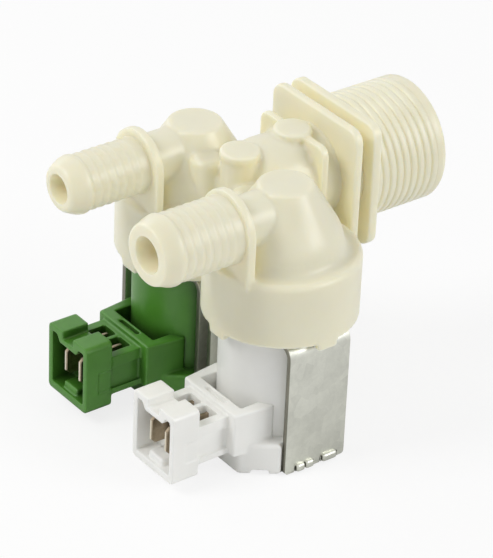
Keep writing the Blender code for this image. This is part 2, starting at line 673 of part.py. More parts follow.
def build_yoke_plate(bench, way, material):
    """The closing plate between the legs, with its staked tenons."""
    side = LEG_INNER - GAP
    tip = LEG_OUTER + TENON_STAKE
    half = YOKE_DEPTH / 2
    sheet = box(bench, way.name + "_yoke_plate", (-side, -half, 0.0), (side, half, YOKE_SHEET))
    tenons = []
    for label, (start, end) in (("front", TENON_FRONT), ("rear", TENON_REAR)):
        low, high = (-tip, start, 0.0), (tip, end, YOKE_SHEET)
        tenons.append(box(bench, f"{way.name}_{label}_tenon_form", low, high))
    combine(sheet, tenons, "UNION")
    cuts = []
    for end in (-1, 1):
        middle = sum(TENON_FRONT) / 2
        reach = sorted((end * (LEG_OUTER - GAP), end * (tip + OVERCUT)))
        low = (reach[0], middle - STAKE_SPLIT / 2, -OVERCUT)
        high = (reach[1], middle + STAKE_SPLIT / 2, YOKE_SHEET + OVERCUT)
        cuts.append(box(bench, f"{way.name}_stake_cut_{end}", low, high))
    hole = [(0.0, YOKE_SHEET + OVERCUT), (TUBE_OUTER, YOKE_SHEET + OVERCUT), (TUBE_OUTER, -OVERCUT), (0.0, -OVERCUT)]
    cuts.append(turned(bench, way.name + "_plate_hole_cut", hole, HIDDEN_STEP_COUNT))
    combine(sheet, cuts, "DIFFERENCE")
    return bench.finish(sheet, material)


def coil_base(bench, way):
    """The skirt at the coil's foot: it fills the space between the legs and, in
    front of them, widens and comes down to the ground line."""
    between = LEG_INNER - GAP
    outline = [(between, -LEG_FACE), (between, BASE_REAR - 2.5 * MM), (between - 2.5 * MM, BASE_REAR)]
    outline += [(-x, y) for x, y in reversed(outline)]
    height = BASE_HEIGHT - CASE_BOTTOM
    middle = (BASE_HEIGHT + CASE_BOTTOM) / 2
    inner = plate(bench, way.name + "_base_inner_form", outline, height, (0, 0, middle))
    outline = [(BASE_FRONT_HALF, -BASE_FRONT), (BASE_SIDE_HALF, -LEG_FACE), (-BASE_SIDE_HALF, -LEG_FACE)]
    outline += [(-BASE_FRONT_HALF, -BASE_FRONT)]
    skirt = plate(bench, way.name + "_base_skirt_form", outline, BASE_HEIGHT, (0, 0, BASE_HEIGHT / 2))
    round_edges(skirt, 0.6 * MM, 1)
    return [inner, skirt]


def scallop_cutters(bench, way):
    """The shallow arches in the skirt's lower edge, one on each slanted side."""
    middle = Vector(((BASE_FRONT_HALF + BASE_SIDE_HALF) / 2, -(BASE_FRONT + LEG_FACE) / 2, 0))
    run = Vector((BASE_SIDE_HALF - BASE_FRONT_HALF, BASE_FRONT - LEG_FACE, 0))
    turn = math.atan2(run.y, run.x)
    cuts = []
    for side in (-1, 1):
        low = (-BASE_SCALLOP_WIDTH / 2, -4.0 * MM, -OVERCUT)
        high = (BASE_SCALLOP_WIDTH / 2, 4.0 * MM, BASE_SCALLOP_HEIGHT)
        cut = box(bench, f"{way.name}_scallop_cut_{side}", low, high, 0.5 * MM, 1)
        cut.location.x += side * middle.x
        cut.location.y += middle.y
        cut.rotation_euler = (0, 0, side * turn)
        cuts.append(cut)
    low = (-BASE_SIDE_HALF, -BASE_FRONT + CASE_WALL, -OVERCUT)
    high = (BASE_SIDE_HALF, 0.0, CASE_BOTTOM)
    hollow = box(bench, f"{way.name}_underside_cut", low, high)
    return cuts + [hollow]


def plug_forms(bench, way):
    """Head, neck and root of the connector, before they are hollowed."""
    head_low = (-HEAD_HALF, -PLUG_FRONT, HEAD_BOTTOM)
    head_high = (HEAD_HALF, -HEAD_BACK, HEAD_TOP)
    neck_low = (-NECK_HALF, -(HEAD_BACK + BURY), NECK_BOTTOM)
    neck_high = (NECK_HALF, -(ROOT_FRONT - BURY), NECK_TOP)
    ledge = NECK_HALF + NECK_LEDGE_REACH
    ledge_low = (-ledge, -(HEAD_BACK + BURY), NECK_TOP - NECK_LEDGE_HEIGHT)
    ledge_high = (ledge, -(ROOT_FRONT - BURY), NECK_TOP)
    foot_low = (-ledge, -(HEAD_BACK + BURY), NECK_BOTTOM)
    foot_high = (ledge, -(ROOT_FRONT - BURY), NECK_BOTTOM + NECK_FOOT_HEIGHT)
    rear = ROOT_HALF + ROOT_FLARE
    outline = [(ROOT_HALF, -ROOT_FRONT), (rear, -LEG_FACE), (-rear, -LEG_FACE), (-ROOT_HALF, -ROOT_FRONT)]
    middle = (ROOT_TOP + NECK_BOTTOM) / 2
    root = plate(bench, way.name + "_root_form", outline, ROOT_TOP - NECK_BOTTOM, (0, 0, middle))
    round_edges(root, 0.4 * MM, 1)
    return [
        root,
        box(bench, way.name + "_head_form", head_low, head_high, HEAD_EDGE, 1),
        box(bench, way.name + "_neck_form", neck_low, neck_high),
        box(bench, way.name + "_ledge_form", ledge_low, ledge_high),
        box(bench, way.name + "_foot_form", foot_low, foot_high),
    ]


def socket_cutter(bench, way):
    """The connector's mouth, less deep under the roof's key."""
    side, floor, roof = HEAD_HALF - SOCKET_SIDE_WALL, HEAD_BOTTOM + SOCKET_FLOOR, HEAD_TOP - SOCKET_ROOF
    slant, low_roof = ROOF_KEY_HALF + ROOF_KEY_SLANT, roof - ROOF_KEY_DROP
    outline = [(side, floor), (side, roof), (slant, roof), (ROOF_KEY_HALF, low_roof)]
    outline += [(-x, z) for x, z in reversed(outline)]
    length = PLUG_FRONT + OVERCUT - SOCKET_END
    middle = -(PLUG_FRONT + OVERCUT + SOCKET_END) / 2
    return plate(bench, way.name + "_socket_cut", outline, length, (0, middle, 0), TO_FRONT)


def plug_cutters(bench, way):
    """Socket, key slot, neck window, root well and the slots for the terminals."""
    key_low = (-KEY_SLOT_WIDTH / 2, -PLUG_FRONT - OVERCUT, HEAD_TOP - KEY_SLOT_DEPTH)
    key_high = (KEY_SLOT_WIDTH / 2, -HEAD_BACK + OVERCUT, HEAD_TOP + OVERCUT)
    floor = NECK_BOTTOM + NECK_FLOOR
    cuts = [
        socket_cutter(bench, way),
        box(bench, way.name + "_key_slot_cut", key_low, key_high),
    ]
    for side in (-1, 1):
        inner, outer = sorted((side * NECK_DIVIDER / 2, side * (NECK_HALF - NECK_WALL)))
        low = (inner, -HEAD_BACK, floor)
        high = (outer, -(ROOT_FRONT + NECK_RIM), NECK_TOP + OVERCUT)
        cuts.append(box(bench, f"{way.name}_window_cut_{side}", low, high))
        middle = side * TAB_PITCH / 2
        half = TAB_SHEET / 2 + GAP
        low = (middle - half, -SOCKET_END - OVERCUT, TAB_CENTRE_Z - TAIL_HEIGHT / 2 - GAP)
        high = (middle + half, -HEAD_BACK + OVERCUT, TAB_CENTRE_Z + TAIL_HEIGHT / 2 + GAP)
        cuts.append(box(bench, f"{way.name}_tail_slot_cut_{side}", low, high))
    well_low = (-ROOT_HALF + ROOT_WALL, -ROOT_FRONT + ROOT_BAR, floor)
    well_high = (ROOT_HALF - ROOT_WALL, -CASE_RADIUS * 0.5, ROOT_TOP + OVERCUT)
    well = box(bench, way.name + "_root_well_cut", well_low, well_high)
    skin = CASE_RADIUS + 0.3 * MM
    core = [(0.0, ROOT_TOP + 2 * OVERCUT), (skin, ROOT_TOP + 2 * OVERCUT), (skin, 0.0), (0.0, 0.0)]
    combine(well, [turned(bench, way.name + "_well_core", core, CUP_STEP_COUNT)], "DIFFERENCE")
    slot_y = -ROOT_FRONT + ROOT_BAR / 2 + 0.3 * MM
    slot_low = (-ROOT_SLOT_LENGTH / 2, slot_y - ROOT_SLOT_WIDTH / 2, ROOT_TOP - ROOT_SLOT_DEPTH)
    slot_high = (ROOT_SLOT_LENGTH / 2, slot_y + ROOT_SLOT_WIDTH / 2, ROOT_TOP + OVERCUT)
    return cuts + [well, box(bench, way.name + "_bar_slot_cut", slot_low, slot_high)]


def build_coil_case(bench, way, material):
    """The coil's overmoulding with its connector and base, as one solid."""
    lower, upper = CASE_BOTTOM, CASE_TOP
    profile = [(0.0, upper), (CASE_RADIUS - CASE_EDGE, upper), (CASE_RADIUS, upper - CASE_EDGE)]
    profile += [(CASE_RADIUS, lower), (0.0, lower)]
    case = turned(bench, way.name + "_coil_case", profile, CUP_STEP_COUNT)
    forms = coil_base(bench, way) + plug_forms(bench, way)
    combine(case, forms, "UNION")
    combine(case, plug_cutters(bench, way) + scallop_cutters(bench, way), "DIFFERENCE")
    rib_low = (-KEY_RIB_WIDTH / 2, -PLUG_FRONT + 0.5 * MM, HEAD_BOTTOM + SOCKET_FLOOR / 2)
    rib_high = (KEY_RIB_WIDTH / 2, -SOCKET_END + BURY, HEAD_BOTTOM + SOCKET_FLOOR + KEY_RIB_HEIGHT)
    combine(case, [box(bench, way.name + "_key_rib_form", rib_low, rib_high, 0.4 * MM, 1)], "UNION")
    cavity = [(CASE_CAVITY, upper - CASE_END_WALL), (CASE_CAVITY, lower + CASE_END_WALL)]
    cavity += [(CASE_BORE - BURY, lower + CASE_END_WALL), (CASE_BORE - BURY, upper - CASE_END_WALL)]
    bore = [(0.0, upper + OVERCUT), (CASE_BORE, upper + OVERCUT), (CASE_BORE, -OVERCUT), (0.0, -OVERCUT)]
    hollow = [turned(bench, way.name + "_winding_cut", cavity, HIDDEN_STEP_COUNT, closed=True)]
    hollow += [turned(bench, way.name + "_case_bore_cut", bore, HIDDEN_STEP_COUNT)]
    combine(case, hollow, "DIFFERENCE")
    return bench.finish(case, material)


def build_coil_inside(bench, way, materials):
    """Bobbin, winding and the two steel sleeves that line the bobbin."""
    lower, upper = CASE_BOTTOM + CASE_END_WALL + GAP, CASE_TOP - CASE_END_WALL - GAP
    tube_top, tube_bottom = CASE_TOP - GAP, CASE_BOTTOM + GAP
    flange = CASE_CAVITY - GAP
    profile = [(BOBBIN_OUTER, tube_top), (BOBBIN_OUTER, upper), (flange, upper), (flange, upper - BOBBIN_FLANGE)]
    profile += [(BOBBIN_OUTER, upper - BOBBIN_FLANGE), (BOBBIN_OUTER, lower + BOBBIN_FLANGE)]
    profile += [(flange, lower + BOBBIN_FLANGE), (flange, lower), (BOBBIN_OUTER, lower)]
    profile += [(BOBBIN_OUTER, tube_bottom), (BOBBIN_INNER, tube_bottom), (BOBBIN_INNER, tube_top)]
    bobbin = turned(bench, way.name + "_coil_bobbin", profile, HIDDEN_STEP_COUNT, closed=True)
    bench.finish(bobbin, materials["bobbin"])
    low, high = lower + BOBBIN_FLANGE + GAP, upper - BOBBIN_FLANGE - GAP
    ring = [(flange, high), (flange, low), (BOBBIN_OUTER + GAP, low), (BOBBIN_OUTER + GAP, high)]
    winding = turned(bench, way.name + "_coil_winding", ring, HIDDEN_STEP_COUNT, closed=True)
    bench.finish(winding, materials["copper"])
    upper_sleeve = (YOKE_HEIGHT - YOKE_SHEET - GAP, -SLEEVE_UPPER_LENGTH, "upper")
    lower_sleeve = (YOKE_SHEET + GAP, SLEEVE_LOWER_LENGTH, "lower")
    for start, length, label in (upper_sleeve, lower_sleeve):
        top, bottom = max(start, start + length), min(start, start + length)
        ring = [(SLEEVE_OUTER, top), (SLEEVE_OUTER, bottom), (SLEEVE_INNER, bottom), (SLEEVE_INNER, top)]
        sleeve = turned(bench, f"{way.name}_flux_sleeve_{label}", ring, HIDDEN_STEP_COUNT, closed=True)
        bench.finish(sleeve, materials["steel"])


def build_terminals(bench, way, material):
    """Two flat tabs, each with a tail into the neck and an upright winding post."""
    half = TAB_HEIGHT / 2
    tail = TAIL_HEIGHT / 2
    shoulder = SOCKET_END + GAP
    post = PLUG_FRONT - POST_FROM_FRONT
    rise = POST_TOP - TAB_CENTRE_Z
    outline = [(TAB_TIP, -half + TAB_CHAMFER), (TAB_TIP, half - TAB_CHAMFER), (TAB_TIP - TAB_CHAMFER, half)]
    outline += [(shoulder, half), (shoulder, tail), (post + POST_WIDTH, tail), (post + POST_WIDTH, rise)]
    outline += [(post, rise), (post, -tail), (shoulder, -tail), (shoulder, -half), (TAB_TIP - TAB_CHAMFER, -half)]
    for side, label in ((-1, "left"), (1, "right")):
        place = (side * TAB_PITCH / 2, 0, TAB_CENTRE_Z)
        flat = [(-forward, up) for forward, up in outline]
        turn = (math.radians(90), 0, math.radians(90))
        tab = plate(bench, f"{way.name}_terminal_{label}", flat, TAB_SHEET, place, turn)
        bench.finish(tab, material)


def build_guide_tube(bench, way, material):
    """Closed tube for the plunger, with the dished flange that shuts the cup."""
    floor_top = FLANGE_BOTTOM + TUBE_FLANGE_FLOOR
    inner_bottom = TUBE_BOTTOM + TUBE_END_WALL
    profile = [(0.0, inner_bottom), (TUBE_BORE, inner_bottom), (TUBE_BORE, floor_top), (TUBE_DISH_RADIUS, floor_top)]
    profile += [(TUBE_DISH_RADIUS, TUBE_RIM_TOP), (FLANGE_RADIUS, TUBE_RIM_TOP), (FLANGE_RADIUS, FLANGE_BOTTOM)]
    profile += [(TUBE_OUTER, FLANGE_BOTTOM), (TUBE_OUTER, TUBE_BOTTOM + 0.8 * MM)]
    profile += [(TUBE_OUTER - 0.8 * MM, TUBE_BOTTOM), (0.0, TUBE_BOTTOM)]
    tube = turned(bench, way.name + "_guide_tube", profile, ROUND_STEP_COUNT)
    return bench.finish(tube, material)


def build_plunger(bench, way, materials):
    """Steel plunger with side flutes, its rubber seal, and the return spring."""
    spring_roof = PLUNGER_BOTTOM + PLUNGER_SPRING_DEPTH
    pocket = PLUNGER_TOP - SEAL_DEPTH
    edge = 0.4 * MM
    profile = [(0.0, pocket), (SEAL_RADIUS + GAP, pocket), (SEAL_RADIUS + GAP, PLUNGER_TOP)]
    profile += [(PLUNGER_RADIUS - edge, PLUNGER_TOP), (PLUNGER_RADIUS, PLUNGER_TOP - edge)]
    profile += [(PLUNGER_RADIUS, PLUNGER_BOTTOM + edge), (PLUNGER_RADIUS - edge, PLUNGER_BOTTOM)]
    profile += [(PLUNGER_SPRING_BORE, PLUNGER_BOTTOM), (PLUNGER_SPRING_BORE, spring_roof), (0.0, spring_roof)]
    plunger = turned(bench, way.name + "_plunger", profile, HIDDEN_STEP_COUNT)
    flutes = []
    for side in (-1, 1):
        reach = sorted((side * (PLUNGER_RADIUS - 0.5 * MM), side * (PLUNGER_RADIUS + OVERCUT)))
        low = (reach[0], -PLUNGER_FLUTE / 2, PLUNGER_BOTTOM - OVERCUT)
        high = (reach[1], PLUNGER_FLUTE / 2, PLUNGER_TOP + OVERCUT)
        flutes.append(box(bench, f"{way.name}_flute_cut_{side}", low, high))
    combine(plunger, flutes, "DIFFERENCE")
    bench.finish(plunger, materials["steel"])
    seal_bottom, seal_top = pocket + GAP, PLUNGER_TOP + SEAL_PROUD
    profile = [(0.0, seal_top), (SEAL_RADIUS - edge, seal_top), (SEAL_RADIUS, seal_top - edge)]
    profile += [(SEAL_RADIUS, seal_bottom), (0.0, seal_bottom)]
    seal = turned(bench, way.name + "_plunger_seal", profile, HIDDEN_STEP_COUNT)
    bench.finish(seal, materials["rubber"])
    build_spring(bench, way, materials["steel"])


def build_spring(bench, way, material):
    """A round-wire compression spring from the tube's end up into the plunger."""
    low = TUBE_BOTTOM + TUBE_END_WALL + GAP + SPRING_WIRE
    high = PLUNGER_BOTTOM + PLUNGER_SPRING_DEPTH - GAP - SPRING_WIRE
    curve = bpy.data.curves.new(way.name + "_plunger_spring", "CURVE")
    curve.dimensions = "3D"
    curve.bevel_depth = SPRING_WIRE
    curve.bevel_resolution = 1
    curve.use_fill_caps = True
    spline = curve.splines.new("POLY")
    count = SPRING_TURNS * SPRING_POINTS
    spline.points.add(count)
    closed = 2 * SPRING_WIRE * 1.25
    for index, point in enumerate(spline.points):
        turn = index / SPRING_POINTS
        angle = 2 * math.pi * turn
        middle = min(max((turn - 1) / (SPRING_TURNS - 2), 0.0), 1.0)
        first, last = min(turn, 1.0) * closed, max(turn - SPRING_TURNS + 1, 0.0) * closed
        height = low + first + middle * (high - low - 2 * closed) + last
        point.co = (SPRING_RADIUS * math.cos(angle), SPRING_RADIUS * math.sin(angle), height, 1.0)
    spring = bpy.data.objects.new(way.name + "_plunger_spring", curve)
    spring.parent = bench.parent
    bench.parts.objects.link(spring)
    curve.materials.append(material)
    return spring


def build_diaphragm(bench, way, materials):
    """Rubber diaphragm with a clamped bead, and the plastic insert it carries."""
    hub_top = SEAT_FACE - GAP
    hub_bottom = hub_top - HUB_SHEET
    hole = INSERT_STEM + GAP
    bead_bottom, bead_top = TUBE_RIM_TOP + GAP, MOUTH_TOP - GAP
    web_top = hub_bottom + WEB_SHEET + 0.1 * MM
    web_bottom = web_top - WEB_SHEET
    roll = (HUB_RADIUS + BEAD_INNER) / 2
    sag = 0.5 * MM
    bead_outer = FLANGE_RADIUS
    profile = [(hole, hub_top), (HUB_RADIUS - 0.5 * MM, hub_top), (HUB_RADIUS, hub_top - 0.5 * MM)]
    profile += [(HUB_RADIUS + 0.6 * MM, web_top), (roll, web_top - sag), (BEAD_INNER - 0.4 * MM, web_top)]
    profile += [(BEAD_INNER, bead_top - BEAD_CORNER), (BEAD_INNER + BEAD_CORNER, bead_top)]
    profile += [(bead_outer, bead_top), (bead_outer, bead_bottom), (BEAD_INNER, bead_bottom)]
    profile += [(BEAD_INNER - 0.7 * MM, web_bottom), (roll, web_bottom - sag), (HUB_RADIUS, web_bottom)]
    profile += [(HUB_RADIUS - 0.6 * MM, hub_bottom), (hole, hub_bottom)]
    rubber = turned(bench, way.name + "_diaphragm", profile, HIDDEN_STEP_COUNT, closed=True)
    bench.finish(rubber, materials["rubber"])
    disc_top = hub_bottom - GAP
    disc_bottom = disc_top - INSERT_DISC_SHEET
    nozzle = PLUNGER_TOP + SEAL_PROUD + GAP
    stem_top = SEAT_FACE + INSERT_STEM_RISE
    profile = [(PILOT_BORE, stem_top), (INSERT_STEM - INSERT_TIP_TAPER, stem_top)]
    profile += [(INSERT_STEM, stem_top - 2 * INSERT_TIP_TAPER), (INSERT_STEM, disc_top)]
    profile += [(INSERT_DISC_RADIUS, disc_top), (INSERT_DISC_RADIUS, disc_bottom)]
    profile += [(PILOT_NOZZLE + 0.6 * MM, disc_bottom), (PILOT_NOZZLE, nozzle), (PILOT_BORE, nozzle)]
    insert = turned(bench, way.name + "_diaphragm_insert", profile, HIDDEN_STEP_COUNT, closed=True)
    bench.finish(insert, materials["insert"])


def build_filter(bench, material):
    """Basket filter in the inlet mouth: flange, slotted cone and closed tip."""
    mouth = INLET_END - FILTER_RECESS
    tip = mouth - FILTER_LENGTH
    outer = INLET_BORE - GAP
    neck = mouth - FILTER_FLANGE
    profile = [(0.0, tip + FILTER_WALL), (FILTER_TIP_RADIUS - FILTER_WALL, tip + FILTER_WALL)]
    profile += [(FILTER_MOUTH_RADIUS - FILTER_WALL, neck), (FILTER_MOUTH_RADIUS - FILTER_WALL, mouth)]
    profile += [(outer, mouth), (outer, neck), (FILTER_MOUTH_RADIUS, neck), (FILTER_TIP_RADIUS, tip), (0.0, tip)]
    basket = turned(bench, "inlet_filter", profile, ROUND_STEP_COUNT, (0, 0, TRUNK_Z), TO_BACK)
    slots = []
    slot_start = tip + FILTER_TIP_LENGTH
    slot_end = neck - FILTER_COLLAR_LENGTH
    for index in range(FILTER_SLOTS):
        angle = 2 * math.pi * index / FILTER_SLOTS
        low = (2.0 * MM, -FILTER_SLOT_WIDTH / 2, slot_start)
        high = (INLET_BORE, FILTER_SLOT_WIDTH / 2, slot_end)
        cut = box(bench, f"filter_slot_cut_{index}", low, high)
        centre = (Vector(low) + Vector(high)) / 2
        turn = Matrix.Translation((0, 0, TRUNK_Z)) @ Matrix.Rotation(TO_BACK[0], 4, "X")
        cut.matrix_local = turn @ Matrix.Rotation(angle, 4, "Z") @ Matrix.Translation(centre)
        slots.append(cut)
    combine(basket, slots, "DIFFERENCE")
    return bench.finish(basket, material)


def build_regulator(bench, materials):
    """Flow regulator at the foot of the inlet bore: carrier and rubber washer."""
    back = REGULATOR_SHELF + GAP
    front = back + CARRIER_THICKNESS
    outer = REGULATOR_BORE - GAP
    profile = [(0.0, front), (outer, front), (outer, back), (0.0, back)]
    carrier = turned(bench, "flow_regulator_carrier", profile, HIDDEN_STEP_COUNT, (0, 0, TRUNK_Z), TO_BACK)
    holes = []
    ring = (WASHER_INNER + CARRIER_HOLE_RADIUS + 0.2 * MM)
    for index in range(CARRIER_HOLES):
        angle = 2 * math.pi * index / CARRIER_HOLES
        bore = [(0.0, front + OVERCUT), (CARRIER_HOLE_RADIUS, front + OVERCUT)]
        bore += [(CARRIER_HOLE_RADIUS, back - OVERCUT), (0.0, back - OVERCUT)]
        place = (ring * math.cos(angle), 0, TRUNK_Z + ring * math.sin(angle))
        holes.append(turned(bench, f"carrier_hole_cut_{index}", bore, 8, place, TO_BACK))
    combine(carrier, holes, "DIFFERENCE")
    bench.finish(carrier, materials["insert"])
    low, high = front + GAP, front + GAP + WASHER_THICKNESS
    section = [(WASHER_OUTER, high - 0.4 * MM), (WASHER_OUTER, low), (WASHER_INNER, low), (WASHER_INNER, high)]
    section += [(WASHER_OUTER - 0.4 * MM, high)]
    washer = turned(bench, "flow_regulator_washer", section, HIDDEN_STEP_COUNT, (0, 0, TRUNK_Z), TO_BACK, closed=True)
    bench.finish(washer, materials["rubber"])


def build_way(bench, way, materials, origin):
    """Everything under one cup, placed about that way's coil axis."""
    bench.parent = bench.empty(way.name + "_way_axis", (way.axis_x, 0, 0), origin)
    build_yoke_frame(bench, way, materials["steel"])
    build_yoke_plate(bench, way, materials["steel"])
    build_coil_case(bench, way, materials[way.name + "_case"])
    build_coil_inside(bench, way, materials)
    build_terminals(bench, way, materials["tin"])
    build_guide_tube(bench, way, materials["insert"])
    build_plunger(bench, way, materials)
    build_diaphragm(bench, way, materials)


def make_materials():
    materials = {
        "nylon": new_material("natural_nylon", (0.78, 0.75, 0.60), 0.45),
        "insert": new_material("acetal", (0.85, 0.85, 0.82), 0.4),
        "bobbin": new_material("glass_filled_nylon", (0.30, 0.30, 0.28), 0.5),
        "steel": new_material("zinc_plated_steel", (0.62, 0.62, 0.60), 0.35, 1.0),
        "tin": new_material("tinned_brass", (0.70, 0.68, 0.62), 0.3, 1.0),
        "copper": new_material("copper_wire", (0.72, 0.32, 0.16), 0.35, 1.0),
        "rubber": new_material("epdm_rubber", (0.03, 0.03, 0.03), 0.7),
    }
    for way in WAYS:
        materials[way.name + "_case"] = new_material(way.name + "_coil_resin", way.case_colour, 0.4)
    return materials


def main():
    clear_scene()
    bench = Bench()
    materials = make_materials()
    reach = max(way.spout_tip for way in WAYS)
    origin = bench.empty("valve_origin", (0, -(INLET_END - reach) / 2, 0))
    bench.parent = origin
    build_body(bench, materials["nylon"])
    build_filter(bench, materials["insert"])
    build_regulator(bench, materials)
    for way in WAYS:
        build_way(bench, way, materials, origin)
    bpy.context.view_layer.update()


main()
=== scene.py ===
"""Looks of a two-way washing machine inlet valve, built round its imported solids.

Shapes are worked in millimetres from the coil row: x from the middle of the row, y from
the coil axes with +y towards the inlet thread, z from the face the yokes stand on. A
finished piece is scaled to metres and moved to the frame as its last step.
"""

import logging
import math
from dataclasses import dataclass
from enum import Enum
from typing import Iterable, Sequence

import bmesh
import bpy
from bmesh.types import BMEdge, BMesh, BMVert
from bpy.types import Material, Node, NodeSocket, NodeTree, Object
from mathutils import Matrix, Vector

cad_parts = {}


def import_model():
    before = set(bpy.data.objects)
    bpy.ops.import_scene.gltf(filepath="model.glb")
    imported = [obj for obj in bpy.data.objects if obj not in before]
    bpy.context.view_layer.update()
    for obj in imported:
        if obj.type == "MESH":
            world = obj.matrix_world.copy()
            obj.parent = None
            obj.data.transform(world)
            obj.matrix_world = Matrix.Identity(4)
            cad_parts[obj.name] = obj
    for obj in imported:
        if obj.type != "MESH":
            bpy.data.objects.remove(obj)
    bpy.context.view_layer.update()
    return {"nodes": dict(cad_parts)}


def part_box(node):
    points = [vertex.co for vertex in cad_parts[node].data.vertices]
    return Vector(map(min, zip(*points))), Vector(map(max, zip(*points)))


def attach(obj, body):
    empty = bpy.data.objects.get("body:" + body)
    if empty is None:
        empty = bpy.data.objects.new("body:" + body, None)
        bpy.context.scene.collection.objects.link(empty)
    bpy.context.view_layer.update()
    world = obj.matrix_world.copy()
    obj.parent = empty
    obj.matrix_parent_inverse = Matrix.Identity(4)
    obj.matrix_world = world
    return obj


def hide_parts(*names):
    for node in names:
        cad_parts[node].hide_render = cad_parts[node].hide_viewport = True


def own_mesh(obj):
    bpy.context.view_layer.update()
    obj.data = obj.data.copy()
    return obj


LOG = logging.getLogger("inlet_valve")
MM = 0.001
SAME_POINT = 0.0005     # points of a spun form closer than this are one, in mm
Corner = tuple[float, float, float]
Section = Sequence[tuple[float, float]]


class Facing(Enum):
    """Where the local +Z of a turned form points, as a turn about X in degrees."""

    UP = 0.0
    FRONT = 90.0
    BACK = -90.0

    def matrix(self) -> Matrix:
        """The turn that brings local +Z to this direction."""
        return Matrix.Rotation(math.radians(self.value), 4, "X")


class Join(Enum):
    """How a tool's volume changes the shape that it meets."""

    ADD = "UNION"
    CUT = "DIFFERENCE"
    KEEP = "INTERSECT"


# Shapes


def moved(bm: BMesh, matrix: Matrix) -> BMesh:
    """Moves a whole shape by a matrix and gives it back."""
    bmesh.ops.transform(bm, matrix=matrix, verts=bm.verts)
    return bm


def round_edges(bm: BMesh, edges: Sequence[BMEdge], radius: float, segments: int) -> None:
    """Rounds edges, or chamfers them.

    Args:
        bm: the shape.
        edges: those of its edges to round.
        radius: how far the rounding reaches, in mm.
        segments: faces across it, 1 for a chamfer.
    """
    bmesh.ops.bevel(bm, geom=edges, offset=radius, offset_type="OFFSET", segments=segments,
                    profile=0.5, affect="EDGES", material=-1)


def turned(section: Section, steps: int, facing: Facing = Facing.UP,
           centre: Corner = (0, 0, 0), ring: bool = False) -> BMesh:
    """Spins a half section into a round solid.

    Args:
        section: (radius, height) points in mm, from axis to axis, or a ring's outline.
        steps: segments round the axis.
        facing: where the height runs.
        centre: the point that the height is measured from.
        ring: True when the section closes on itself and leaves a hole.

    Returns:
        The closed solid as a bmesh.
    """
    bm = bmesh.new()
    verts = [bm.verts.new((radius, 0.0, height)) for radius, height in section]
    edges = [bm.edges.new(pair) for pair in zip(verts, verts[1:])]
    if ring:
        edges.append(bm.edges.new((verts[-1], verts[0])))
    bmesh.ops.spin(bm, geom=verts + edges, cent=(0, 0, 0), axis=(0, 0, 1), angle=math.tau,
                   steps=steps, use_merge=True)
    bmesh.ops.remove_doubles(bm, verts=bm.verts, dist=SAME_POINT)
    bmesh.ops.recalc_face_normals(bm, faces=bm.faces)
    return moved(bm, Matrix.Translation(centre) @ facing.matrix())


def rod(radius: float, low: float, high: float, steps: int, facing: Facing = Facing.UP,
        centre: Corner = (0, 0, 0)) -> BMesh:
    """Makes a plain cylinder between two heights."""
    section = [(0.0, high), (radius, high), (radius, low), (0.0, low)]
    return turned(section, steps, facing, centre)


def block(low: Corner, high: Corner, radius: float = 0.0, segments: int = 3) -> BMesh:
    """Makes a block between two corners.

    Args:
        low: lowest corner.
        high: highest corner.
        radius: rounding of all its edges, 0 for none.
        segments: faces across the rounding.

    Returns:
        The solid as a bmesh.
    """
    lower, upper = Vector(low), Vector(high)
    size = Matrix.Diagonal((*(upper - lower), 1.0))
    bm = bmesh.new()
    bmesh.ops.create_cube(bm, size=1.0, matrix=Matrix.Translation((lower + upper) / 2) @ size)
    if radius > 0:
        round_edges(bm, bm.edges[:], radius, segments)
    return bm


def upright(low: Corner, high: Corner, corner: float, edge: float, axis: int) -> BMesh:
    """Makes a plate with its four corner edges rounded more than its rims.

    Args:
        low: lowest corner.
        high: highest corner.
        corner: radius of the four edges that run along axis.
        edge: radius of the rims.
        axis: 0, 1 or 2, the direction of the plate's thickness.

    Returns:
        The solid as a bmesh.
    """
    bm = block(low, high)
    along = [e for e in bm.edges
             if abs((e.verts[1].co - e.verts[0].co).normalized()[axis]) > 0.9]
    round_edges(bm, along, corner, 8)
    flat = [f for f in bm.faces if abs(f.normal[axis]) > 0.9]
    rims = list({e for f in flat for e in f.edges})
    round_edges(bm, rims, edge, 3)
    return bm


def prism(outline: Section, low: float, high: float, edge: float = 0.0) -> BMesh:
    """Extrudes a flat outline upwards and rounds its edges.

    Args:
        outline: (x, y) points in mm, in order round the outline.
        low: height of its underside.
        high: height of its top.
        edge: rounding of all its edges, 0 for none.

    Returns:
        The solid as a bmesh.
    """
    bm = bmesh.new()
    verts = [bm.verts.new((x, y, low)) for x, y in outline]
    edges = [bm.edges.new(pair) for pair in zip(verts, verts[1:] + verts[:1])]
    bmesh.ops.edgeloop_fill(bm, edges=edges)
    grown = bmesh.ops.extrude_face_region(bm, geom=bm.faces[:])
    top = [g for g in grown["geom"] if isinstance(g, BMVert)]
    bmesh.ops.translate(bm, vec=(0, 0, high - low), verts=top)
    bmesh.ops.recalc_face_normals(bm, faces=bm.faces)
    if edge > 0:
        round_edges(bm, bm.edges[:], edge, 2)
    return bm


def both_sides(half: Section) -> list[tuple[float, float]]:
    """The right half of an outline, then its mirror image from last point to first."""
    return list(half) + [(-x, y) for x, y in reversed(half)]


def arc(centre: tuple[float, float], radius: float, start: float, end: float,
        count: int) -> list[tuple[float, float]]:
    """Works out points on an arc, both ends included.

    Args:
        centre: middle of the arc.
        radius: its radius.
        start: first angle, in degrees.
        end: last angle, in degrees.
        count: steps between the two.

    Returns:
        The points in order.
    """
    points = []
    for step in range(count + 1):
        angle = math.radians(start + (end - start) * step / count)
        points.append((centre[0] + radius * math.cos(angle),
                       centre[1] + radius * math.sin(angle)))
    return points


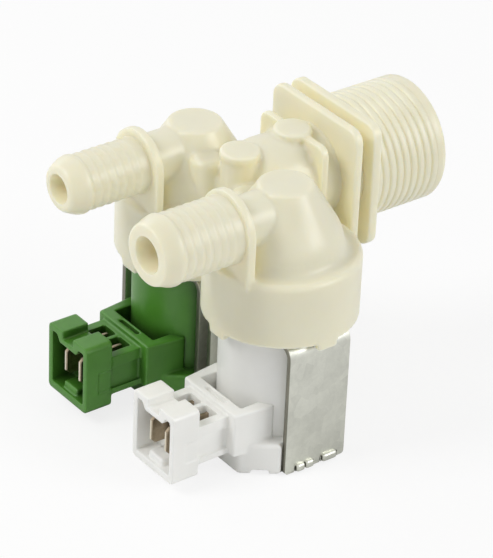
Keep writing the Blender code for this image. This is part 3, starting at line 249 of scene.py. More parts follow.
def as_object(name: str, bm: BMesh) -> Object:
    """Puts a bmesh in the scene and frees it.

    Args:
        name: the object's name.
        bm: its shape.

    Returns:
        The new object.
    """
    mesh = bpy.data.meshes.new(name)
    bm.to_mesh(mesh)
    bm.free()
    obj = bpy.data.objects.new(name, mesh)
    bpy.context.scene.collection.objects.link(obj)
    return obj


def as_shape(obj: Object) -> BMesh:
    """Takes an object out of the scene and gives its shape as a bmesh.

    Args:
        obj: the object, used up here.

    Returns:
        The shape as a bmesh.
    """
    bm = bmesh.new()
    bm.from_mesh(obj.data)
    bpy.data.objects.remove(obj)
    return bm


def settle(obj: Object) -> None:
    """Applies an object's modifiers to its mesh.

    Args:
        obj: the object, whose old mesh is removed.
    """
    bpy.context.view_layer.update()
    graph = bpy.context.evaluated_depsgraph_get()
    mesh = bpy.data.meshes.new_from_object(obj.evaluated_get(graph))
    old = obj.data
    obj.modifiers.clear()
    obj.data = mesh
    bpy.data.meshes.remove(old)


def combine(obj: Object, tools: Iterable[BMesh], how: Join) -> None:
    """Joins, cuts or keeps with each tool in turn, and applies the result.

    Args:
        obj: the shape that changes.
        tools: shapes that change it, used up here.
        how: what each does to it.
    """
    helpers = []
    for tool in tools:
        helper = as_object("tool", tool)
        modifier = obj.modifiers.new("join", "BOOLEAN")
        modifier.solver = "MANIFOLD"
        modifier.operation = how.value
        modifier.object = helper
        helpers.append(helper)
    settle(obj)
    for helper in helpers:
        mesh = helper.data
        bpy.data.objects.remove(helper)
        bpy.data.meshes.remove(mesh)


def soften(obj: Object, voxel: float, passes: int) -> None:
    """Fuses a shape into one skin and rounds its edges and corners as a moulding's are.

    Args:
        obj: the shape, in mm.
        voxel: size of the skin's faces, in mm.
        passes: how many times the skin is relaxed.
    """
    remesh = obj.modifiers.new("skin", "REMESH")
    remesh.mode = "VOXEL"
    remesh.voxel_size = voxel
    relax = obj.modifiers.new("relax", "SMOOTH")
    relax.factor = 0.5
    relax.iterations = passes
    settle(obj)


@dataclass(frozen=True)
class Place:
    """Where a finished piece belongs in the frame."""

    row_y: float

    def finish(self, obj: Object, body: str, slot: str,
               material: Material, nodes: Sequence[str] = (),
               angle: float = 38.0) -> Object:
        """Scales a piece to metres, moves it to the frame, shades it and lets it ride.

        Args:
            obj: the piece, in mm from the coil row.
            body: the CAD body it moves with.
            slot: the record's material slot, not used.
            material: its finish.
            nodes: the CAD nodes it stands for.
            angle: edges sharper than this stay sharp, in degrees.

        Returns:
            The same object.
        """
        move = Matrix.Translation((0, self.row_y, 0)) @ Matrix.Scale(MM, 4)
        obj.data.transform(move)
        obj.data.materials.clear()
        obj.data.materials.append(material)
        obj.data.shade_smooth()
        obj.data.set_sharp_from_angle(angle=math.radians(angle))
        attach(obj, body)
        if nodes:
            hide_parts(*nodes)
        LOG.info("%s: %d faces on %s", obj.name, len(obj.data.polygons), body)
        return obj


# Finishes


def linear(code: str) -> tuple[float, float, float, float]:
    """Turns a colour code to the linear colour that a shader takes.

    Args:
        code: sRGB hex code, with its hash sign.

    Returns:
        Linear red, green, blue and alpha.
    """
    values = [int(code[i:i + 2], 16) / 255 for i in (1, 3, 5)]
    red, green, blue = (v / 12.92 if v <= 0.04045 else ((v + 0.055) / 1.055) ** 2.4
                        for v in values)
    return (red, green, blue, 1.0)


def node(tree: NodeTree, kind: str, settings: dict | None = None,
         inputs: dict | None = None) -> Node:
    """Adds a shader node.

    Args:
        tree: the material's node tree.
        kind: its type's name, after ShaderNode.
        settings: attributes to set on it.
        inputs: socket name or number to a value, or to another node's output socket.

    Returns:
        The new node.
    """
    made = tree.nodes.new("ShaderNode" + kind)
    for key, value in (settings or {}).items():
        setattr(made, key, value)
    for key, value in (inputs or {}).items():
        socket = made.inputs[key]
        if isinstance(value, NodeSocket):
            tree.links.new(value, socket)
        else:
            socket.default_value = value
    return made


def fresh(name: str) -> tuple[Material, NodeTree, NodeSocket]:
    """Starts an empty material.

    Args:
        name: its real material and process.

    Returns:
        The material, its node tree and its object coordinates.
    """
    material = bpy.data.materials.new(name)
    material.use_nodes = True
    tree = material.node_tree
    tree.nodes.clear()
    where = node(tree, "TexCoord").outputs["Object"]
    return material, tree, where


@dataclass(frozen=True)
class Moulded:
    """A moulded plastic or rubber: a faint drift of colour, a skin not quite flat, and a tone
    painted into crevices and between close walls: painted shade where it is darker than the skin,
    painted glow of passing light where it is paler."""

    name: str
    light: str
    dark: str
    roughness: float
    painted_crevice_tone: str
    painted_crevice_share: float = 0.8
    painted_crevice_mm: float = 7.0
    drift_mm: float = 9.0
    patch_mm: float = 2.6
    ripple_mm: float = 0.9
    ripple_depth_mm: float = 0.006
    grain_mm: float = 0.25
    grain_depth_mm: float = 0.0015
    scatter: float = 0.0
    scatter_mm: float = 2.0
    scatter_tint: tuple[float, float, float] = (1.0, 0.8, 0.55)
    ior: float = 1.53

    def build(self) -> Material:
        """Makes the material.

        Returns:
            The material.
        """
        material, tree, where = fresh(self.name)
        cloud = node(tree, "TexNoise", {}, {
            "Vector": where, "Scale": 1 / (self.drift_mm * MM), "Detail": 3.0,
            "Roughness": 0.55})
        tone = node(tree, "Mix", {"data_type": "RGBA"}, {
            "Factor": cloud.outputs["Fac"], 6: linear(self.dark), 7: linear(self.light)})
        # painted crevice tone: where ambient occlusion finds close walls, the colour is mixed
        # towards a painted shade, which is paler than the skin on the translucent finishes as
        # painted glow
        open_sky = node(tree, "AmbientOcclusion", {"samples": 16}, {
            "Distance": self.painted_crevice_mm * MM})
        painted_crevice_mask = node(tree, "MapRange", {}, {
            "Value": open_sky.outputs["AO"], "From Min": 0.25, "From Max": 0.85,
            "To Min": self.painted_crevice_share, "To Max": 0.0})
        tone = node(tree, "Mix", {"data_type": "RGBA"}, {
            "Factor": painted_crevice_mask.outputs["Result"], 6: tone.outputs[2], 7: linear(self.painted_crevice_tone)})
        patch = node(tree, "TexNoise", {}, {
            "Vector": where, "Scale": 1 / (self.patch_mm * MM), "Detail": 4.0,
            "Roughness": 0.6})
        gloss = node(tree, "MapRange", {}, {
            "Value": patch.outputs["Fac"], "From Min": 0.3, "From Max": 0.7,
            "To Min": self.roughness - 0.05, "To Max": self.roughness + 0.07})
        ripple = node(tree, "TexNoise", {}, {
            "Vector": where, "Scale": 1 / (self.ripple_mm * MM), "Detail": 1.0})
        swell = node(tree, "Bump", {}, {
            "Height": ripple.outputs["Fac"], "Strength": 1.0,
            "Distance": self.ripple_depth_mm * MM})
        grain = node(tree, "TexNoise", {}, {
            "Vector": where, "Scale": 1 / (self.grain_mm * MM), "Detail": 2.0})
        skin = node(tree, "Bump", {}, {
            "Height": grain.outputs["Fac"], "Strength": 1.0,
            "Distance": self.grain_depth_mm * MM, "Normal": swell.outputs["Normal"]})
        shader = node(tree, "BsdfPrincipled", {"subsurface_method": "RANDOM_WALK"}, {
            "Base Color": tone.outputs[2], "Roughness": gloss.outputs["Result"],
            "IOR": self.ior, "Normal": skin.outputs["Normal"],
            "Subsurface Weight": self.scatter, "Subsurface Radius": self.scatter_tint,
            "Subsurface Scale": self.scatter_mm * MM})
        node(tree, "OutputMaterial", {}, {"Surface": shader.outputs["BSDF"]})
        return material


@dataclass(frozen=True)
class ZincSheet:
    """A metal skin: soft clouds, small crystal patches, fine rolling lines, cut edges in a colour
    of their own, painted pale on the tinned brass as light on its shaded edges.
    """

    name: str
    light: str
    dark: str
    roughness: float
    cut: str
    crystal_mm: float = 2.2
    crystal_share: float = 0.22
    cloud_mm: float = 5.0
    dent_depth_mm: float = 0.012
    line_mm: float = 0.35
    line_depth_mm: float = 0.002

    def build(self) -> Material:
        """Makes the material.

        Returns:
            The material.
        """
        material, tree, where = fresh(self.name)
        crystals = node(tree, "TexVoronoi", {"feature": "F1"}, {
            "Vector": where, "Scale": 1 / (self.crystal_mm * MM), "Randomness": 1.0})
        clouds = node(tree, "TexNoise", {}, {
            "Vector": where, "Scale": 1 / (self.cloud_mm * MM), "Detail": 8.0,
            "Roughness": 0.8})
        blend = node(tree, "Mix", {"data_type": "FLOAT"}, {
            "Factor": self.crystal_share, 2: clouds.outputs["Fac"], 3: crystals.outputs["Color"]})
        tone = node(tree, "MapRange", {}, {
            "Value": blend.outputs[0], "From Min": 0.25, "From Max": 0.75})
        colour = node(tree, "Mix", {"data_type": "RGBA"}, {
            "Factor": tone.outputs["Result"], 6: linear(self.dark), 7: linear(self.light)})
        # faces along Y take the cut colour: real cut edges, and on the tinned brass also a
        # painted light that lifts their shaded edge faces
        facing = node(tree, "TexCoord").outputs["Normal"]
        depth = node(tree, "SeparateXYZ", {}, {0: facing}).outputs["Y"]
        across = node(tree, "Math", {"operation": "ABSOLUTE"}, {0: depth})
        edge = node(tree, "MapRange", {}, {
            "Value": across.outputs[0], "From Min": 0.80, "From Max": 0.97})
        colour = node(tree, "Mix", {"data_type": "RGBA"}, {
            "Factor": edge.outputs["Result"], 6: colour.outputs[2], 7: linear(self.cut)})
        gloss = node(tree, "MapRange", {}, {
            "Value": blend.outputs[0], "From Min": 0.25, "From Max": 0.75,
            "To Min": self.roughness + 0.06, "To Max": self.roughness - 0.05})
        stretch = node(tree, "Mapping", {}, {
            "Vector": where, "Scale": (1.0, 1.0, 0.06)})
        lines = node(tree, "TexNoise", {}, {
            "Vector": stretch.outputs["Vector"], "Scale": 1 / (self.line_mm * MM),
            "Detail": 3.0})
        fine = node(tree, "Bump", {}, {
            "Height": lines.outputs["Fac"], "Strength": 1.0,
            "Distance": self.line_depth_mm * MM})
        dents = node(tree, "Bump", {}, {
            "Height": clouds.outputs["Fac"], "Strength": 1.0,
            "Distance": self.dent_depth_mm * MM, "Normal": fine.outputs["Normal"]})
        shader = node(tree, "BsdfPrincipled", {}, {
            "Base Color": colour.outputs[2], "Metallic": 1.0,
            "Roughness": gloss.outputs["Result"], "Normal": dents.outputs["Normal"]})
        node(tree, "OutputMaterial", {}, {"Surface": shader.outputs["BSDF"]})
        return material


@dataclass(frozen=True)
class Workshop:
    """All finishes of the valve, made once."""

    made: dict[str, Material]

    @classmethod
    def open(cls) -> "Workshop":
        """Builds every finish.

        Returns:
            The workshop that holds them.
        """
        finishes = {
            # Natural PA66, moulded: ivory, lets light some way in, satin skin with small
            # soft glints, and a pale warm yellow painted into crevices as the glow of light
            # passing there
            "nylon": Moulded("natural_nylon_moulded", "#E9E6D0", "#E2DEC6", 0.33, "#F5EECE",
                             painted_crevice_share=0.7, painted_crevice_mm=8.0, scatter=1.0, scatter_mm=2.2,
                             scatter_tint=(1.0, 0.9, 0.7)),
            # White PBT overmoulding: bright, slightly cloudy from its glass fill, with a paler
            # tone painted into its crevices as the glow of light passing there
            "white_coil": Moulded("white_pbt_moulded", "#F1F1EE", "#E9E9E5", 0.34, "#F8F7F2",
                                  painted_crevice_share=0.6, drift_mm=5.0, scatter=0.3, scatter_mm=1.5,
                                  scatter_tint=(1.0, 0.95, 0.9)),
            # Green PBT overmoulding: full leaf green with a soft sheen, and painted shade
            # darkening its corners
            "green_coil": Moulded("green_pbt_moulded", "#508C2E", "#3F7820", 0.34, "#1F3A12",
                                  drift_mm=5.0, scatter=0.04, scatter_mm=0.6,
                                  scatter_tint=(0.4, 1.0, 0.3)),
            # Natural acetal: cool white with a soft sheen, and painted shade darkening its
            # crevices
            "acetal": Moulded("acetal_moulded", "#E8E8E3", "#DDDDD7", 0.33, "#B9B4A2",
                              painted_crevice_share=0.5),
            # Glass-filled nylon of the bobbin: dull dark grey, and painted shade darkening its
            # crevices
            "bobbin": Moulded("glass_filled_nylon_moulded", "#55554F", "#454540", 0.50,
                              "#2C2C28", painted_crevice_share=0.5),
            # EPDM: black and nearly matt, and painted shade darkening its crevices
            "rubber": Moulded("epdm_rubber_moulded", "#262626", "#1B1B1B", 0.62, "#101010",
                              painted_crevice_share=0.4),
            # Zinc-plated steel strip: pale warm grey, nearly matt, darker where it is cut
            "zinc": ZincSheet("zinc_plated_steel_sheet", "#DEDFD5", "#BFC0B7", 0.38, "#8D8B80"),
            # Machined magnetic steel and spring wire: bright, even grey
            "bright_steel": ZincSheet("machined_magnetic_steel", "#D0D0CE", "#B4B4B2", 0.28,
                                      "#C0C0BE", crystal_mm=0.8),
            # Tinned brass tabs: dull brownish silver, with pale cut edges painted as light on
            # their shaded edge faces
            "tin": ZincSheet("tinned_brass_sheet", "#B3A48E", "#7E715E", 0.30, "#EFE6D4",
                             crystal_mm=0.9),
            # Enamelled copper wire of the windings: warm orange-brown with a sheen
            "copper": ZincSheet("enamelled_copper_wire", "#C87A48", "#9A5228", 0.30, "#B06A3C",
                                crystal_mm=0.5),
            # Winding ends, dipped in solder: dull grey
            "solder": ZincSheet("soldered_wire_ends", "#A9A498", "#857F72", 0.34, "#97917F",
                                crystal_mm=0.4),
        }
        return cls({key: finish.build() for key, finish in finishes.items()})

    def __getitem__(self, key: str) -> Material:
        """One finish by its short name."""
        return self.made[key]


# The valve


@dataclass(frozen=True)
class Way:
    """One of the two ways and what differs between them."""

    name: str
    side: int
    spout_tip: float
    barb: float
    nose: float
    bore: float
    collar: float
    head_top: float
    resin: str
    pitch: float = 30.2

    @property
    def x(self) -> float:
        """Distance of the way's axis from the middle of the row."""
        return self.side * self.pitch / 2


WAYS = (Way("white", 1, 33.1, 7.35, 0.6, 3.6, 8.0, 18.2, "white_coil"),
        Way("green", -1, 33.1, 6.15, 1.3, 2.9, 7.6, 17.9, "green_coil"))


@dataclass
class BodyMoulding:
    """The nylon moulding: inlet, plates, manifold, cups, towers, collars and spouts."""

    place: Place
    workshop: Workshop
    cup_radius: float = 15.9
    cup_bottom: float = 30.3
    shoulder: float = 44.5
    tower_top: float = 58.8
    tower_cap: float = 5.55
    tower_taper: float = 0.61
    tower_base: float = 12.1
    tower_swell: float = 9.0
    lug_thickness: float = 1.9
    lug_half: float = 2.3
    lug_drop: float = 1.5
    elbow_radius: float = 5.45
    elbow_end: float = 1.9
    elbow_edge: float = 1.7
    collar_back: float = 12.7
    collar_front: float = 14.7
    collar_bottom: float = 42.8
    spout_z: float = 53.0
    ridges: int = 7
    ridge_pitch: float = 1.93
    ridge_end: float = 15.4
    trunk_z: float = 49.4
    trunk_radius: float = 9.7
    trunk_front: float = 0.6
    trunk_edge: float = 6.0
    knuckle_radius: float = 3.5
    knuckle_x: float = 6.6
    knuckle_y: float = -3.0
    near_plate: tuple[float, float] = (18.4, 2.0)
    far_plate: tuple[float, float] = (23.0, 2.1)
    plate_half: float = 13.86
    slot_neck: float = 11.3
    inlet_end: float = 43.3
    thread_radius: float = 13.22
    thread_pitch: float = 1.814
    thread_depth: float = 0.42
    thread_turns: float = 11.5
    skin: float = 0.38

    @property
    def trunk_axis(self) -> Corner:
        """Point that heights along the trunk and the inlet are measured from."""
        return (0, 0, self.trunk_z)

    def spout_axis(self, way: Way) -> Corner:
        """Point that lengths along a way's spout are measured from."""
        return (way.x, 0, self.spout_z)

    def cup(self, way: Way) -> BMesh:
        """Turns the cup with its shoulder and cone-shaped tower.

        Args:
            way: the way it belongs to.

        Returns:
            The form, still solid inside.
        """
        lean = math.degrees(math.atan(self.tower_taper))
        swell = self.tower_swell
        start = self.tower_base - swell * (1 - math.cos(math.radians(lean)))
        drop = (start - self.tower_cap) / self.tower_taper
        centre = self.tower_top - drop - swell * math.sin(math.radians(lean))
        section = [(0.0, self.tower_top)]
        section += arc((self.tower_cap - 0.35, self.tower_top - 0.45), 0.45, 90, lean, 4)
        section += arc((self.tower_base - swell, centre), swell, lean, 6, 7)
        section += arc((self.tower_base + 2.0, self.shoulder + 1.9), 1.9, 180, 270, 5)
        section += arc((self.cup_radius - 1.2, self.shoulder - 1.2), 1.2, 90, 0, 5)
        section += [(self.cup_radius, self.cup_bottom), (0.0, self.cup_bottom)]
        return turned(section, 128, centre=(way.x, 0, 0))

    def lugs(self, way: Way) -> list[BMesh]:
        """Makes the four lugs under the rim of the cup.

        Args:
            way: the way they belong to.

        Returns:
            One form for each lug.
        """
        reach = self.cup_radius - 0.05
        low = (reach - self.lug_thickness, -self.lug_half, self.cup_bottom - self.lug_drop)
        high = (reach + 0.05, self.lug_half, self.cup_bottom + 1.2)
        pieces = []
        for turn in (0, 90, 180, 270):
            spin = Matrix.Rotation(math.radians(turn), 4, "Z")
            pieces.append(moved(block(low, high, 0.25, 2),
                                Matrix.Translation((way.x, 0, 0)) @ spin))
        return pieces

    def elbow(self, way: Way) -> BMesh:
        """Turns the round-ended neck from the tower to the collar.

        Args:
            way: the way it belongs to.

        Returns:
            The form.
        """
        radius, end, edge = self.elbow_radius, self.elbow_end, self.elbow_edge
        root = self.collar_front - 0.7
        section = [(0.0, root), (radius, root)]
        section += arc((radius - edge, end + edge), edge, 0, -90, 6) + [(0.0, end)]
        return turned(section, 96, Facing.FRONT, self.spout_axis(way))

    def web(self, way: Way) -> BMesh:
        """Makes the wedge under the neck that narrows down to the cup's shoulder.

        Args:
            way: the way it belongs to.

        Returns:
            The form.
        """
        outline = [(5.0, 51.0), (-5.0, 51.0), (-1.6, 44.0), (1.6, 44.0)]
        spot = Matrix.Translation((way.x, 0, 0)) @ Facing.FRONT.matrix()
        return moved(prism(outline, 4.5, 13.5, 0.5), spot)

    def collar(self, way: Way) -> list[BMesh]:
        """Makes the arched plate behind the spout.

        Args:
            way: the way it belongs to.

        Returns:
            Its round top and its leg, which fuse.
        """
        back, front, radius = self.collar_back, self.collar_front, way.collar
        leg = block((way.x - radius, -front, self.collar_bottom),
                    (way.x + radius, -back, self.spout_z))
        return [rod(radius, back, front, 96, Facing.FRONT, self.spout_axis(way)), leg]

    def spout(self, way: Way) -> BMesh:
        """Turns the hose spout: a rounded nose up to the barb, then low ridges.

        Args:
            way: the way it belongs to.

        Returns:
            The form, still solid inside.
        """
        tip, barb, nose, pitch = way.spout_tip, way.barb, way.nose, self.ridge_pitch
        groove = barb - 0.4
        section = [(0.0, tip)] + arc((barb - 0.98 - nose, tip - nose), nose, 90, 28, 6)
        section += [(barb - inset, tip - back) for inset, back in
                    ((0.62, 1.7), (0.26, 2.5), (0.06, 3.2), (0.0, 3.8), (0.05, 4.2),
                     (0.2, 4.5), (0.4, 4.8))]
        for ridge in range(self.ridges):
            crest = tip - 5.0 - (ridge + 0.6) * pitch
            if crest < self.ridge_end:
                break
            section += [(groove, crest + 0.55 * pitch), (groove + 0.15, crest + 0.16),
                        (groove + 0.18, crest - 0.05), (groove + 0.13, crest - 0.26),
                        (groove, crest - 0.38 * pitch)]
        foot, root = self.collar_front, self.collar_front - 1.3
        section += [(groove + 0.2, foot + 0.15), (groove + 0.6, foot - 0.1),
                    (groove + 0.6, root), (0.0, root)]
        return turned(section, 128, Facing.FRONT, self.spout_axis(way))

    def trunk(self) -> BMesh:
        """Turns the round manifold trunk, with its rounded front end.

        Returns:
            The form.
        """
        edge, front = self.trunk_edge, self.trunk_front
        section = [(0.0, 20.0), (10.3, 20.0), (10.3, 18.8), (self.trunk_radius, 18.0)]
        section += arc((self.trunk_radius - edge, front + edge), edge, 0, -90, 12)
        return turned(section + [(0.0, front)], 128, Facing.BACK, self.trunk_axis)

    def boss(self, y: float, radius: float, top: float) -> BMesh:
        """Turns a round boss on the manifold, on a slightly thinner stem.

        Args:
            y: place of its axis along the trunk.
            radius: of its head.
            top: height of its head.

        Returns:
            The form.
        """
        edge, stem, head = 0.5, radius - 0.35, top - 1.6
        section = [(0.0, top)] + arc((radius - edge, top - edge), edge, 90, 0, 4)
        section += [(radius, head), (stem, head - 0.3), (stem, 46.0), (0.0, 46.0)]
        return turned(section, 64, centre=(0, y, 0))

    def knuckle(self, side: int, top: float, edge: float) -> BMesh:
        """Turns the upright round form that stands between a tower and the front boss.

        Args:
            side: 1 for the white way, -1 for the green.
            top: its height.
            edge: rounding of its rim.

        Returns:
            The form.
        """
        radius = self.knuckle_radius
        section = [(0.0, top)] + arc((radius - edge, top - edge), edge, 90, 0, 6)
        section += [(radius, 40.0), (0.0, 40.0)]
        return turned(section, 64, centre=(side * self.knuckle_x, self.knuckle_y, 0))

    def square_plate(self, span: tuple[float, float], edge: float) -> BMesh:
        """Makes a square plate with round corners across the trunk.

        Args:
            span: where it starts along the trunk, and its thickness.
            edge: rounding of its rims.

        Returns:
            The form.
        """
        (y, thickness), half = span, self.plate_half
        return upright((-half, y, self.trunk_z - half),
                       (half, y + thickness, self.trunk_z + half), 3.0, edge, 1)

    def thread(self) -> BMesh:
        """Spins the helical ridge of the inlet thread as one long section.

        Returns:
            The ridge as a closed solid.
        """
        pitch, crest, steps = self.thread_pitch, self.thread_radius, 96
        root = crest - self.thread_depth
        flank = [(root - 0.7, 0.48), (root, 0.48), (crest - 0.20, 0.36), (crest - 0.05, 0.27),
                 (crest, 0.15)]
        section = [(radius, -share * pitch) for radius, share in flank]
        section += [(radius, share * pitch) for radius, share in reversed(flank)]
        bm = bmesh.new()
        verts = [bm.verts.new((radius, 0.0, height)) for radius, height in section]
        face = bmesh.ops.contextual_create(bm, geom=verts)["faces"]
        bmesh.ops.spin(bm, geom=verts + bm.edges[:] + face, cent=(0, 0, 0), axis=(0, 0, 1),
                       dvec=(0, 0, pitch / steps), angle=math.tau * self.thread_turns,
                       steps=int(steps * self.thread_turns), use_merge=False)
        bmesh.ops.remove_doubles(bm, verts=bm.verts, dist=SAME_POINT)
        bmesh.ops.holes_fill(bm, edges=bm.edges[:], sides=len(section))
        bmesh.ops.recalc_face_normals(bm, faces=bm.faces)
        return moved(bm, Matrix.Translation((0, 24.0, self.trunk_z)) @ Facing.BACK.matrix())

    def inlet(self) -> BMesh:
        """Makes the threaded inlet from the far plate to its end.

        Returns:
            The form, with the ends of its thread trimmed.
        """
        start, end, crest = 24.2, self.inlet_end, self.thread_radius
        root = crest - self.thread_depth + 0.02
        obj = as_object("inlet", rod(root, start, end, 192, Facing.BACK, self.trunk_axis))
        combine(obj, [self.thread()], Join.ADD)
        lead = [(0.0, end), (crest - 0.03, end), (crest - 0.03, end - 2.2), (root, end - 3.0),
                (0.0, end - 3.0)]
        combine(obj, [turned(lead, 192, Facing.BACK, self.trunk_axis)], Join.ADD)
        trim = [(0.0, end), (crest - 0.8, end), (crest - 0.5, end - 0.1),
                (crest - 0.2, end - 0.35), (crest + 0.1, end - 0.9), (crest + 0.1, start + 0.2),
                (0.0, start + 0.2)]
        combine(obj, [turned(trim, 192, Facing.BACK, self.trunk_axis)], Join.KEEP)
        return as_shape(obj)

    def hollows(self) -> list[BMesh]:
        """Makes the chambers, outlets and stepped inlet bore, placed as in the solid.

        Returns:
            The shapes to cut away.
        """
        cuts = []
        for way in WAYS:
            chamber = [(0.0, 55.5), (2.7, 55.5), (3.9, 54.3), (3.9, 49.4), (4.4, 47.4),
                       (4.4, 37.6), (6.0, 37.6), (6.0, 42.5), (11.9, 42.5), (11.9, 37.0),
                       (13.4, 37.0), (13.4, 29.0), (0.0, 29.0)]
            cuts.append(turned(chamber, 96, centre=(way.x, 0, 0)))
            bore, tip = way.bore, way.spout_tip
            outlet = [(0.0, tip + 1.0), (bore + 1.2, tip + 1.0), (bore + 0.35, tip + 0.1),
                      (bore, tip - 0.6), (bore, 0.0), (0.0, 0.0)]
            cuts.append(turned(outlet, 96, Facing.FRONT, self.spout_axis(way)))
        mouth = self.inlet_end + 1.0
        stepped = [(0.0, mouth), (10.4, mouth), (10.4, 24.6), (8.2, 24.6), (8.2, 17.0),
                   (5.0, 17.0), (5.0, 4.6), (0.0, 4.6)]
        gallery = block((-7.2, 1.5, 38.3), (7.2, 8.5, 42.1))
        drop = block((-4.0, 2.5, 39.3), (4.0, 7.5, 46.0))
        return cuts + [turned(stepped, 128, Facing.BACK, self.trunk_axis), gallery, drop]

    def build(self) -> Object:
        """Makes the whole moulding as one piece.

        Returns:
            The finished piece.
        """
        body = as_object("body_moulding", self.trunk())
        bridge = upright((-10.0, -3.4, 40.0), (10.0, 7.0, 53.2), 3.0, 1.5, 2)
        rib_plate = upright((-10.4, 12.8, 39.4), (10.4, 14.5, 59.8), 2.0, 0.3, 1)
        forms = [bridge, self.boss(0.0, 4.1, 59.2), self.boss(13.05, 4.0, 60.4),
                 self.knuckle(-1, 55.6, 1.5), self.knuckle(1, 54.0, 2.4), rib_plate]
        for way in WAYS:
            forms += [self.cup(way), self.elbow(way), self.web(way)]
            forms += self.lugs(way) + self.collar(way)
        combine(body, forms, Join.ADD)
        soften(body, self.skin, 3)
        crisp = [self.square_plate(self.near_plate, 0.6), self.square_plate(self.far_plate, 0.4),
                 rod(self.slot_neck, 19.0, 24.4, 128, Facing.BACK, self.trunk_axis)]
        combine(body, crisp + [self.spout(way) for way in WAYS], Join.ADD)
        combine(body, [self.inlet()], Join.ADD)
        combine(body, self.hollows(), Join.CUT)
        return self.place.finish(body, "root", "nylon", self.workshop["nylon"], ["valve_body"])


@dataclass
class WayPart:
    """What a sub-assembly that each way has once is given."""

    place: Place
    workshop: Workshop
    way: Way

    def put(self, obj: Object, slot: str, finish: str, solid: str,
            angle: float = 38.0) -> Object:
        """Moves a piece from the way's axis to its place and finishes it.

        Args:
            obj: the piece, in mm from the way's axis.
            slot: the record's material slot.
            finish: short name of its finish.
            solid: the CAD node that it stands for, without the way's name.
            angle: edges sharper than this stay sharp, in degrees.

        Returns:
            The same object.
        """
        obj.data.transform(Matrix.Translation((self.way.x, 0, 0)))
        return self.place.finish(obj, "root", slot, self.workshop[finish],
                                 [f"{self.way.name}_{solid}"], angle)


